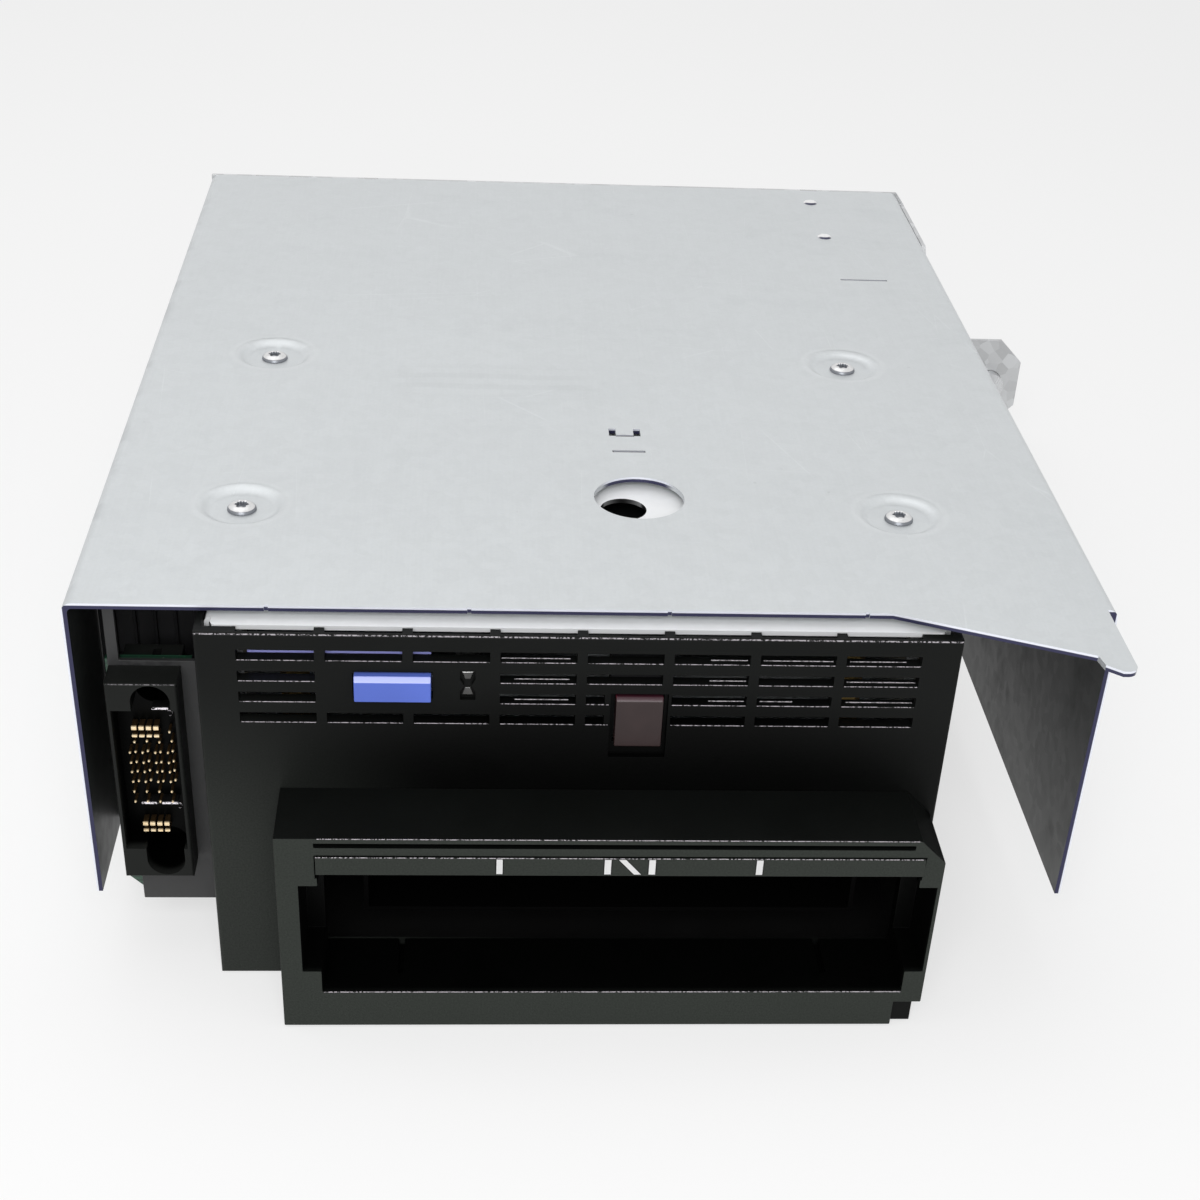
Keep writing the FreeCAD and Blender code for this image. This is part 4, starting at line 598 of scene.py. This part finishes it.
def gilt_contact():
    """Gold, bright at the tips, with painted shade on the shanks behind them."""
    gilt = Finish("gilt_contact", Metallic=0.35)
    worn = gilt.noise(0.6 * mm, 2.0)
    tip = gilt.blend(worn, (0.95, 0.62, 0.25), (1.0, 0.93, 0.72))
    shank = gilt.blend(worn, (0.010, 0.006, 0.003), (0.060, 0.034, 0.012))
    # Painted shade: behind the tips the contacts are near black, as deep in the cavity.
    gilt.surface(gilt.blend(gilt.y.rise(3.7 * mm, 4.1 * mm), tip, shank), worn * 0.2 + 0.25)


def glinting_edge(name, bright, dark, start=1.0, end=2.0):
    """Painted points of shine along a thin edge, with painted shade from a depth on where one is given."""
    edge = Finish(name, Specular_IOR_Level=0.3)
    points = edge.noise(0.55 * mm, 2.0, harshness=0.7).rise(0.40, 0.55)
    shine = points * (1 - edge.y.rise(start, end))
    edge.surface(edge.blend(shine, dark, bright), 0.45 - shine * 0.1)


bare_metal("screw_steel", (0.66, 0.67, 0.68), 0.27, 0.35 * mm, (1.0, 1.0, 0.2))
bare_metal("motor_steel", (0.44, 0.45, 0.46), 0.32, 0.4 * mm, (0.15, 0.15, 1.0))
bare_metal("cast_alloy", (0.50, 0.51, 0.52), 0.50, 0.9 * mm, (1.0, 1.0, 1.0), 0.05 * mm)
bare_metal("brass_post", (0.66, 0.46, 0.17), 0.30, 0.3 * mm, (0.2, 0.2, 1.0))
gilt_contact()
glinting_edge("spring_steel", (0.95, 0.90, 0.95), grey(0.004), 3.6 * mm, 3.8 * mm)
glinting_edge("lip_shine", (0.50, 0.46, 0.50), (0.012, 0.013, 0.012))
glinting_edge("ledge_shine", (0.80, 0.76, 0.80), (0.20, 0.19, 0.20))
print("finishes so far:", len(FINISHES))

# %% Boards
def circuit_board():
    """Green mask over tracks and pads, with painted shade near the cover."""
    board = Finish("circuit_board", Coat_Weight=0.5, Coat_Roughness=0.15)
    plan = board.node("ShaderNodeCombineXYZ", inputs={0: board.x + board.z, 1: board.y + board.z, 2: 0.0})
    tracks = board.node("ShaderNodeTexBrick", {"offset": 0.37, "squash": 0.6, "squash_frequency": 3}, {
        "Vector": plan, "Scale": 1.0, "Mortar Size": 0.18 * mm, "Mortar Smooth": 0.3,
        "Brick Width": 9.0 * mm, "Row Height": 0.95 * mm, "Color1": (0, 0, 0), "Color2": (0, 0, 0),
        "Mortar": (1, 1, 1)}, 1)
    pads = 1 - board.cells(2.7 * mm).rise(0.13, 0.17)
    colour = board.blend(board.noise(6 * mm, 2.0), (0.006, 0.030, 0.017), (0.010, 0.050, 0.027))
    colour = board.blend(tracks * 0.7, colour, (0.020, 0.09, 0.045))
    colour = board.blend(pads, colour, (0.62, 0.60, 0.52))
    # Painted shade: the board's side near the cover, above 79 mm, is made nearly black.
    shaded = board.blend(tracks, (0.0015, 0.0020, 0.0020), (0.006, 0.007, 0.008))
    board.dent(tracks * 0.6 + pads, 0.03 * mm, 0.7)
    board.surface(board.blend(board.z > 79 * mm, colour, shaded), 0.42 - pads * 0.12)


circuit_board()
print("finishes so far:", len(FINISHES))

# %% [markdown]
# ## Soft edges
# Real edges are never sharp: sheet is deburred, mouldings have a radius, and that thin line of light
# is what tells the eye how big a part is. Each visible part is copied from the frame, its triangles
# are merged back into plane faces, and its sharp edges get a small round. A bevel modifier would
# round every edge alike; here short edges are left out, because they are the steps of arcs and holes
# that are round already, so the edges are picked by angle and length and bevelled in the mesh.

# %% Pieces
CREASE = 32.0


def merged(node):
    """The part's mesh with its loose triangles joined and its plane faces whole."""
    shape = bmesh.new()
    shape.from_mesh(frame["nodes"][node].data)
    bmesh.ops.remove_doubles(shape, verts=shape.verts, dist=0.002 * mm)
    bmesh.ops.dissolve_limit(shape, angle_limit=math.radians(0.3), verts=shape.verts, edges=shape.edges)
    return shape


def smoothed(shape, crease=CREASE):
    """The shape with smooth shading, broken at edges sharper than the crease angle."""
    for surface in shape.faces:
        surface.smooth = True
    for edge in shape.edges:
        edge.smooth = edge.calc_face_angle(0.0) < math.radians(crease)
    return shape


def add_piece(name, shape, body, slot, *nodes, finish=None):
    """Turn a shape into an object that rides on a body and stands for its nodes."""
    mesh = bpy.data.meshes.new(name)
    shape.to_mesh(mesh)
    shape.free()
    piece = bpy.data.objects.new(name, mesh)
    bpy.context.scene.collection.objects.link(piece)
    mesh.materials.append(FINISHES[finish or slot])
    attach(piece, body)
    if nodes:
        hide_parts(*nodes)
    print("%-24s %6d faces" % (name, len(mesh.polygons)))
    return piece


def flatten(piece):
    """Let wide faces keep their own direction, so that only the rounds shade as curved."""
    weighted = piece.modifiers.new("flat_faces", "WEIGHTED_NORMAL")
    weighted.mode = "FACE_AREA"
    weighted.weight = 100
    weighted.keep_sharp = True


def round_edges(shape, edges, width):
    """Give edges a round of a width in metres."""
    bmesh.ops.bevel(shape, geom=edges, offset=width, offset_type="OFFSET", segments=2, profile=0.5,
                    affect="EDGES", clamp_overlap=True, material=-1)
    return shape


# %% Soft edges
SHORTEST_EDGE = 0.9 * mm
EDGE_WIDTHS = {
    "sled_cover": 0.22, "rear_panel": 0.2, "bezel": 0.35, "snout": 0.4, "fiducial_bar": 0.2,
    "unload_button": 0.25, "display_window": 0.3, "drive_cover_upper": 0.2, "drive_cover_lower": 0.2,
    "drive_back": 0.15, "hotplug_housing": 0.25, "connector_bracket": 0.2, "connector_board": 0.1,
    "pull_handle": 0.5, "fan_frame": 0.4, "optical_cage": 0.12, "thumbscrew_ferrule": 0.25,
    "deck_casting": 0.4, "loader_tray": 0.2, "interface_parts": 0.4, "board_parts": 0.3,
    "display_module": 0.3, "rear_connectors": 0.2}
OWN_FINISH = {
    "snout": "snout_black", "fiducial_bar": "snout_black", "connector_bracket": "bracket_zinc_in_shade",
    "drive_cover_upper": "case_sheet", "drive_cover_lower": "case_sheet", "drive_back": "case_sheet"}


def soften(node, width):
    """A copy of a part with its long sharp edges rounded."""
    shape = merged(node)
    sharp = [edge for edge in shape.edges if edge.is_manifold
             and edge.calc_face_angle(0.0) > math.radians(CREASE) and edge.calc_length() > SHORTEST_EDGE]
    smoothed(round_edges(shape, sharp, width))
    flatten(add_piece(node + "_softened", shape, body_of_node[node], slot_of_node[node], node,
                      finish=OWN_FINISH.get(node)))


for node, width in EDGE_WIDTHS.items():
    soften(node, width * mm)
print("softened:", len(EDGE_WIDTHS), "parts")

# %% [markdown]
# ## Turned fittings
# Screws, rivets and the knob are turned parts. A ring of cylinders would need its joints cleaned, so
# a lathe profile is spun round an axis in one go, and a rule may then push each ring in and out by
# its angle: six waves make a star recess, many make a knurl. The head keeps its place in the frame,
# so the model's own heights decide how far it stands proud.

# %% Lathe
def lathe(profile, steps, rule=None):
    """Spin a profile of (radius, height) points in millimetres, then let a rule scale each radius."""
    shape = bmesh.new()
    points = [shape.verts.new((radius * mm, 0, height * mm)) for radius, height in profile]
    for first, second in zip(points, points[1:]):
        shape.edges.new((first, second))
    bmesh.ops.spin(shape, geom=shape.verts[:] + shape.edges[:], cent=(0, 0, 0), axis=(0, 0, 1),
                   angle=math.tau, steps=steps, use_merge=True, use_duplicate=False)
    bmesh.ops.remove_doubles(shape, verts=shape.verts, dist=0.001 * mm)
    if rule:
        for point in shape.verts:
            x, y, height = point.co
            share = rule(math.atan2(y, x), math.hypot(x, y) / mm, height / mm)
            point.co = (x * share, y * share, height)
    bmesh.ops.recalc_face_normals(shape, faces=shape.faces)
    return shape


def gather(shapes):
    """Join several shapes into one."""
    whole = bmesh.new()
    for shape in shapes:
        mesh = bpy.data.meshes.new("passing")
        shape.to_mesh(mesh)
        shape.free()
        whole.from_mesh(mesh)
        bpy.data.meshes.remove(mesh)
    return whole


def stand(shape, place, turn=Matrix.Identity(4)):
    """Turn a shape and put it at a place in millimetres."""
    bmesh.ops.transform(shape, matrix=Matrix.Translation(Vector(place) * mm) @ turn, verts=shape.verts)
    return shape


REARWARD = Matrix.Rotation(-math.pi / 2, 4, "X")
FORWARD = Matrix.Rotation(math.pi / 2, 4, "X")

# %% Cover screws
HEAD_HEIGHT = 1.4
SCREW_PROFILE = [(0, -7), (1.2, -7), (1.4, -6.6), (1.4, 0), (3.0, 0), (3.1, 0.15), (3.0, 0.5), (2.7, 0.85),
                 (2.2, 1.15), (1.7, 1.3), (1.45, 1.28), (1.3, 1.1), (1.25, 0.55), (0, 0.5)]
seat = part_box("cover_screws")[1].z / mm - HEAD_HEIGHT


def star_recess(angle, radius, height):
    """Six lobes in the driver's recess, and nothing elsewhere."""
    return 1 + 0.17 * math.cos(6 * angle) if radius < 1.46 and height > 0.45 else 1


def star_steel():
    """Pale plated steel, with painted shade in the recess and round the rim."""
    steel = Finish("star_steel", Metallic=0.6, Roughness=0.34)
    recess_and_side_shade = (steel.z < (seat + 0.75) * mm).most(abs(steel.facing()[2]) < 0.5)
    bright = steel.blend(steel.noise(0.7 * mm, 3.0), grey(0.52), grey(0.78))
    steel.surface(steel.blend(recess_and_side_shade, bright, (0.20, 0.21, 0.23)))


star_steel()
screws = gather([stand(lathe(SCREW_PROFILE, 48, star_recess), (x, y, seat)) for x, y in SCREW_SPOTS])
add_piece("star_screws", smoothed(screws, 40), "sled", "screw_steel", "cover_screws", finish="star_steel")

# %% Rivets
RIVET_PROFILE = [(0, -3.3), (1.6, -3.3), (1.6, 0), (1.95, 0), (2.0, 0.08), (1.7, 0.34), (1.3, 0.44),
                 (0.8, 0.49), (0, 0.5)]
rivet_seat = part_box("panel_rivets")[1].z / mm - RIVET_PROFILE[-1][1]


def rivet_zinc():
    """Bright zinc with painted shade on the side where the dome turns from the front."""
    zinc = Finish("rivet_zinc", Metallic=0.2, Roughness=0.35)
    front_shade = (0 - zinc.facing()[1]).rise(0.10, 0.42)
    bright = zinc.blend(zinc.noise(0.8 * mm), grey(0.75), grey(0.95))
    zinc.surface(zinc.blend(front_shade, bright, (0.03, 0.03, 0.07)))


rivet_zinc()
rivets = gather([stand(lathe(RIVET_PROFILE, 32), (78.8, y, rivet_seat)) for y in (213.6, 243.0)])
add_piece("domed_rivets", smoothed(rivets, 50), "sled", "screw_steel", "panel_rivets", finish="rivet_zinc")

# %% Fan screws
FAN_HEAD_RADIUS, FAN_HEAD_HEIGHT = 3.0, 1.6
FAN_PROFILE = [(0, -10), (1.2, -10), (1.6, -9.4), (1.6, 0), (2.9, 0), (FAN_HEAD_RADIUS, 0.2), (2.9, 0.8),
               (2.4, 1.3), (1.7, 1.55), (1.2, 1.5), (1.1, 0.9), (0.5, 0.6), (0, 0.6)]


def cross_recess(angle, radius, height):
    """Four lobes in the recess of a fan screw."""
    return 1 + 0.35 * math.cos(4 * angle) if radius < 1.3 and height > 0.5 else 1


low, high = [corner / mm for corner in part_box("fan_screws")]
fan_screws = gather([
    stand(lathe(FAN_PROFILE, 32, cross_recess), (x, high.y - FAN_HEAD_HEIGHT, z), REARWARD)
    for x in (low.x + FAN_HEAD_RADIUS, high.x - FAN_HEAD_RADIUS)
    for z in (low.z + FAN_HEAD_RADIUS, high.z - FAN_HEAD_RADIUS)])
add_piece("fan_screw_heads", smoothed(fan_screws, 45), "sled", "screw_steel", "fan_screws")

# %% Knob
KNOB_LENGTH = 15.0
GRIP_RADIUS = 5.6
THREAD_PITCH = 0.7
threads = [(radius, -17.4 + THREAD_PITCH * turn + drop) for turn in range(18)
           for radius, drop in ((1.72, 0.0), (2.0, THREAD_PITCH / 2))]
knob_profile = [(0, -18), (1.4, -18)] + threads + [
    (1.7, -4.4), (1.7, 4.0), (5.0, 4.0), (5.5, 4.4), (6.0, 5.1), (6.0, 9.0), (6.0, 13.3), (5.5, 13.9),
    (4.6, 14.1), (4.4, 14.9), (4.1, KNOB_LENGTH), (1.9, KNOB_LENGTH), (1.7, 14.6), (1.7, 13.6), (0, 13.4)]


def knurl(angle, radius, height):
    """Thirty ribs round the grip of the knob."""
    on_grip = radius > GRIP_RADIUS and 5.0 < height < 13.4
    return 1 - 0.045 * (0.5 + 0.5 * math.cos(30 * angle)) if on_grip else 1


knob_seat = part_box("thumbscrew")[1].y / mm - KNOB_LENGTH
knob = stand(lathe(knob_profile, 180, knurl), (145.0, knob_seat, 26.0), REARWARD)
add_piece("knurled_knob", smoothed(knob, 40), "lock", "screw_steel", "thumbscrew")

# %% [markdown]
# ## Contacts
# A blind-mate plug has stiff power blades at its ends and signal pins between. A pin is a cone with a
# rounded tip, a blade is a bar with a lead-in on all four sides. Three sprung bars lie across the
# blocks, and two hooks stand at their ends. All are placed by rows and columns in loops; copies of
# one object would do too, but a joined mesh travels as one part.

# %% Contact shapes
TIP_DEPTH, ROOT_DEPTH = 3.5, 6.5


def bar(x, y, z, rounding=0.0):
    """A block between two limits on each axis, in millimetres, with its edges rounded."""
    shape = bmesh.new()
    bmesh.ops.create_cube(shape, size=1.0)
    scale = Vector((x[1] - x[0], y[1] - y[0], z[1] - z[0]))
    middle = Vector((x[0] + x[1], y[0] + y[1], z[0] + z[1])) / 2
    bmesh.ops.transform(shape, matrix=Matrix.Diagonal((*(scale * mm), 1)), verts=shape.verts)
    if rounding:
        round_edges(shape, shape.edges[:], rounding * mm)
    return stand(shape, middle)


def pin(x, z):
    """A tapered signal pin from the cavity's floor to its rounded tip."""
    profile = [(0, 0), (0.34, 0), (0.30, 2.4), (0.24, 2.8), (0.13, 2.96), (0, ROOT_DEPTH - TIP_DEPTH)]
    return stand(lathe(profile, 8), (x, ROOT_DEPTH, z), FORWARD)


def blades(left, z, half_height):
    """A row of four power blades, from its left end."""
    pitch, width = 1.47, 1.08
    return [bar((left + pitch * column, left + pitch * column + width), (TIP_DEPTH, ROOT_DEPTH),
                (z - half_height, z + half_height), 0.12) for column in range(4)]


def hook(x, z):
    """A wire bent round through 200 degrees, for the end of a sprung bar."""
    wire = bmesh.new()
    depth = TIP_DEPTH + 0.25
    bmesh.ops.create_circle(wire, cap_ends=True, radius=0.24 * mm, segments=8)
    stand(wire, (x, depth, z - 0.6))
    bmesh.ops.spin(wire, geom=wire.faces[:] + wire.edges[:] + wire.verts[:],
                   cent=Vector((x, depth, z)) * mm, axis=(0, -1, 0), angle=math.radians(200), steps=12)
    return wire

# %% Contacts
PIN_ROWS = ((-89.55, 2.5, 0.0, 0.25, (53.0, 50.6, 48.1, 45.8, 43.35)),
            (-90.7, 2.55, -0.2, 0.0, (50.6, 48.1, 45.8, 43.35, 40.85, 38.3)))
contacts = (blades(-89.9, 56.5, 0.42) + blades(-89.9, 54.6, 0.26)
            + blades(-89.65, 32.5, 0.42) + blades(-89.65, 30.8, 0.26))
for left, pitch, raised, stagger, rows in PIN_ROWS:
    contacts += [pin(left + pitch * column, z + raised + stagger * (column % 2))
                 for z in rows for column in range(4)]
contacts.append(pin(-82.35, 55.5))
print(len(contacts), "contacts")
plug = smoothed(gather(contacts), 40)
add_piece("tapered_contacts", plug, "sled", "gilt_contact", "hotplug_contacts")

springs = [bar(x, (TIP_DEPTH, ROOT_DEPTH), (z - 0.22, z + 0.22), 0.1)
           for x, z in (((-85.4, -82.1), 61.3), ((-89.4, -86.0), 37.9), ((-85.2, -81.9), 37.9))]
springs = gather(springs + [hook(-81.9, 60.3), hook(-81.7, 37.3)])
bmesh.ops.recalc_face_normals(springs, faces=springs.faces)
add_piece("sprung_bars", smoothed(springs), "sled", "bright_sheet", finish="spring_steel")

# %% [markdown]
# ## The front's small parts
# The picker's camera finds the mouth by a white target printed on the bar. Two faceted light pipes
# end in a narrow window, thin bright bars of painted shine lie in the vents, and the sills and rims
# have a line of painted shine. A printed mark could be a colour in the material, but a plate a few
# hundredths of a millimetre proud stays crisp, and a line of shine as a fine bar is seen from every
# side.

# %% Printed target
def slab(outline, front, back):
    """An outline of (x, z) points, from one depth to another, in millimetres."""
    shape = bmesh.new()
    face = shape.faces.new([shape.verts.new((x * mm, front * mm, z * mm)) for x, z in outline])
    pushed = bmesh.ops.extrude_face_region(shape, geom=[face])["geom"]
    bmesh.ops.translate(shape, vec=(0, (back - front) * mm, 0),
                        verts=[item for item in pushed if isinstance(item, bmesh.types.BMVert)])
    bmesh.ops.recalc_face_normals(shape, faces=shape.faces)
    return shape


STRIPE_FOOT, STRIPE_TOP = 40.9, 44.5
STRIPES = [((-16.3, -15.1), (-16.3, -15.1)), ((5.0, 6.3), (5.0, 6.3)), ((10.9, 12.3), (7.8, 9.2)),
           ((13.8, 15.1), (13.8, 15.1)), ((35.2, 36.5), (35.2, 36.5))]


def stripes(spare, proud):
    """The target's bars, each from its span at the foot to its span at the top."""
    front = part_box("fiducial_bar")[0].y / mm
    return smoothed(gather([
        slab([(foot[0] - spare, STRIPE_FOOT), (foot[1] + spare, STRIPE_FOOT),
              (top[1] + spare, STRIPE_TOP), (top[0] - spare, STRIPE_TOP)], front - proud, front + 0.2)
        for foot, top in STRIPES]))


add_piece("target_ground", stripes(0.22, 0.010), "sled", "bezel_black", finish="target_black")
add_piece("target_stripes", stripes(0.0, 0.025), "sled", "gear_white", finish="target_white")

# %% Light pipes
def faceted_pipe(base, tip):
    """A pipe whose front narrows from its base to its tip, both heights."""
    pipe = slab([(-23.35, base), (-21.05, base), (-21.65, tip), (-22.75, tip)], -5.3, 5.4)
    long_edges = [edge for edge in pipe.edges if abs(edge.verts[0].co.y - edge.verts[1].co.y) < mm]
    return round_edges(pipe, long_edges, 0.22 * mm)


carrier = bar((-24.7, -19.7), (5.5, 7.5), (69.6, 78.6), 0.3)
pipes = gather([faceted_pipe(76.35, 74.6), faceted_pipe(71.0, 72.7), carrier])
add_piece("faceted_pipes", smoothed(pipes), "sled", "light_pipe", "status_lights")

# %% Vent glint bars
ROW_PITCH, TOP_SILL = 4.75, 79.0
COLUMN_PITCH, SLOT_HALF = 16.9, 7.3
GLINT_SPANS = (((-15.7, -2.3), (25.2, 32.5), (35.6, 49.4), (52.7, 63.9)),
          ((-13.1, -2.3), (25.3, 32.5), (52.6, 66.3)),
          ((-13.0, -2.4), (25.4, 32.5), (35.7, 42.2), (52.9, 66.3)))
# Each bar is a painted highlight: a thin bright bar that stands in for the shine along a slot's edge.
glint_bars = []
for row, spans in enumerate(GLINT_SPANS):
    sill = TOP_SILL - ROW_PITCH * row
    glint_bars += [bar(span, (-4.5, -4.3), (sill - 0.02, sill + 0.10), 0.03) for span in spans]
add_piece("slot_glint_bars", smoothed(gather(glint_bars)), "sled", "bright_sheet", finish="ledge_shine")

# %% Lines of shine
OPEN_COLUMNS = (range(8), (0, 3, 4, 5, 6, 7), (0, 3, 5, 6, 7), (0, 1, 2, 3, 5, 6, 7))
SHORT_SLOT = (1.1, 5.5)


def lip(span, face, foot, top):
    """A fine bar of painted shine that stands 0.015 mm proud of a front face."""
    return bar(span, (face - 0.015, face + 0.12), (foot, top), 0.03)


bezel_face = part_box("bezel")[0].y / mm
lips = []
for row, columns in enumerate(OPEN_COLUMNS):
    sill = TOP_SILL - ROW_PITCH * row
    centres = [(column - 3.5) * COLUMN_PITCH for column in columns]
    spans = [(centre - SLOT_HALF, centre + SLOT_HALF) for centre in centres]
    spans += [SHORT_SLOT] if row > 1 else []
    lips += [lip(span, bezel_face, sill - 0.11, sill + 0.015) for span in spans]
mouth_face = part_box("snout")[0].y / mm
snout_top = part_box("snout")[1].z / mm
lips.append(lip((-51.2, 67.6), mouth_face, snout_top - 0.12, snout_top + 0.01))
lips.append(lip((-51.2, 68.6), mouth_face, 9.54, 9.715))
add_piece("painted_lip_glints", smoothed(gather(lips)), "sled", "bezel_black", finish="lip_shine")

# %% [markdown]
# ## The bay's back
# Behind the plug the gap between the cover and the drive is closed by a black screen, put there as
# painted shade for the dark bay. A flat plane would close it too, but from the side its stiffening
# ribs give it away, so it is a thin plate with real ribs.

# %% Bay screen
wall = cover_low.x / mm + 1.3
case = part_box("drive_cover_lower")[0].x / mm - 0.3
RIB_PITCH, RIB_WIDTH = 4.2, 0.7
# The screen is painted shade: a black plate put where the bay is dark.
screen = [bar((wall, case), (26.0, 27.0), (18.0, 86.0), 0.2)]
for rib in range(5):
    left = wall + 3 + RIB_PITCH * rib
    screen.append(bar((left, left + RIB_WIDTH), (25.0, 26.4), (58.0, 84.0), 0.15))
screen += [bar((wall + 1, case - 1), (25.3, 26.4), (z, z + RIB_WIDTH), 0.15) for z in (60.0, 72.0, 84.0)]
add_piece("bay_shade_screen", smoothed(gather(screen)), "sled", "chip_black")

# %% [markdown]
# ## The remaining parts
# Parts deep inside keep their own shape: their edges are too small or too hidden to need a round. A
# slot name travels with each part, so a loop can give every one the finish of its slot.

# %% Finishes on the remaining parts
for node, thing in frame["nodes"].items():
    thing.data.materials.clear()
    thing.data.materials.append(FINISHES[slot_of_node[node]])
print("finished", len(frame["nodes"]), "parts")

# %% [markdown]
# ## Floor and light
# The light is plain: a broad soft box overhead, a smaller and stronger one above the camera for the
# black face, and an even pale surround. The floor is pale and takes the object's shadow. A picture of
# a studio as the surround would light it too, but its windows would show in the metal.

# %% Floor and light
def soft_box(name, place, aim, width, power):
    """A square area light that points at a spot."""
    lamp = bpy.data.objects.new(name, bpy.data.lights.new(name, "AREA"))
    lamp.data.shape = "SQUARE"
    lamp.data.size = width
    lamp.data.energy = power
    direction = Vector(aim) - Vector(place)
    lamp.matrix_world = Matrix.Translation(place) @ direction.to_track_quat("-Z", "Y").to_matrix().to_4x4()
    bpy.context.scene.collection.objects.link(lamp)
    print(name, "stands", round(direction.length, 2), "m from what it lights")


def lay_floor(half, glow):
    """A pale floor under the object, which isn't part of it, with a share of white in plain view."""
    shape = bmesh.new()
    bmesh.ops.create_grid(shape, x_segments=1, y_segments=1, size=half)
    mesh = bpy.data.meshes.new("floor")
    shape.to_mesh(mesh)
    shape.free()
    floor = bpy.data.objects.new("floor", mesh)
    pale = Finish("floor_pale", Roughness=0.9, Specular_IOR_Level=0.0)
    mesh.materials.append(pale.surface(pale.blend(pale.noise(0.4, 2.0), grey(0.88), grey(0.92))))
    white = pale.node("ShaderNodeEmission", None, {"Color": (1, 1, 1), "Strength": 1.0})
    path = pale.node("ShaderNodeLightPath").socket.node
    seen = Flow(pale, path.outputs["Is Camera Ray"]).most(Flow(pale, path.outputs["Is Glossy Ray"]))
    seen = seen.most(Flow(pale, path.outputs["Is Transmission Ray"]))
    shaded = Flow(pale, pale.shader.outputs[0])
    mix = pale.node("ShaderNodeMixShader", None, {0: seen * glow, 1: shaded, 2: white})
    pale.tree.links.new(mix.socket, pale.tree.nodes["Material Output"].inputs["Surface"])
    bpy.context.scene.collection.objects.link(floor)


def light_world(level):
    """White to the camera and in reflections, softer as light."""
    world = bpy.data.worlds.new("surround")
    bpy.context.scene.world = world
    world.use_nodes = True
    tree = world.node_tree
    tree.nodes.clear()
    path = tree.nodes.new("ShaderNodeLightPath")
    soft = tree.nodes.new("ShaderNodeBackground")
    white = tree.nodes.new("ShaderNodeBackground")
    soft.inputs["Strength"].default_value = level
    soft.inputs["Color"].default_value = (1, 1, 1, 1)
    white.inputs["Color"].default_value = (1, 1, 1, 1)
    seen = path.outputs["Is Camera Ray"]
    for ray in ("Is Glossy Ray", "Is Transmission Ray"):
        either = tree.nodes.new("ShaderNodeMath")
        either.operation = "MAXIMUM"
        tree.links.new(seen, either.inputs[0])
        tree.links.new(path.outputs[ray], either.inputs[1])
        seen = either.outputs[0]
    mix = tree.nodes.new("ShaderNodeMixShader")
    tree.links.new(seen, mix.inputs[0])
    tree.links.new(soft.outputs[0], mix.inputs[1])
    tree.links.new(white.outputs[0], mix.inputs[2])
    out = tree.nodes.new("ShaderNodeOutputWorld")
    tree.links.new(mix.outputs[0], out.inputs["Surface"])


lay_floor(6.0, 0.6)
light_world(0.5)
soft_box("overhead_box", (-0.25, 0.35, 1.15), (0, 0.1, 0.05), 1.1, 3.5)
soft_box("camera_box", (-0.08, -0.75, 0.62), (0, 0.02, 0.05), 0.60, 6.0)
bpy.context.scene.view_settings.view_transform = "Standard"
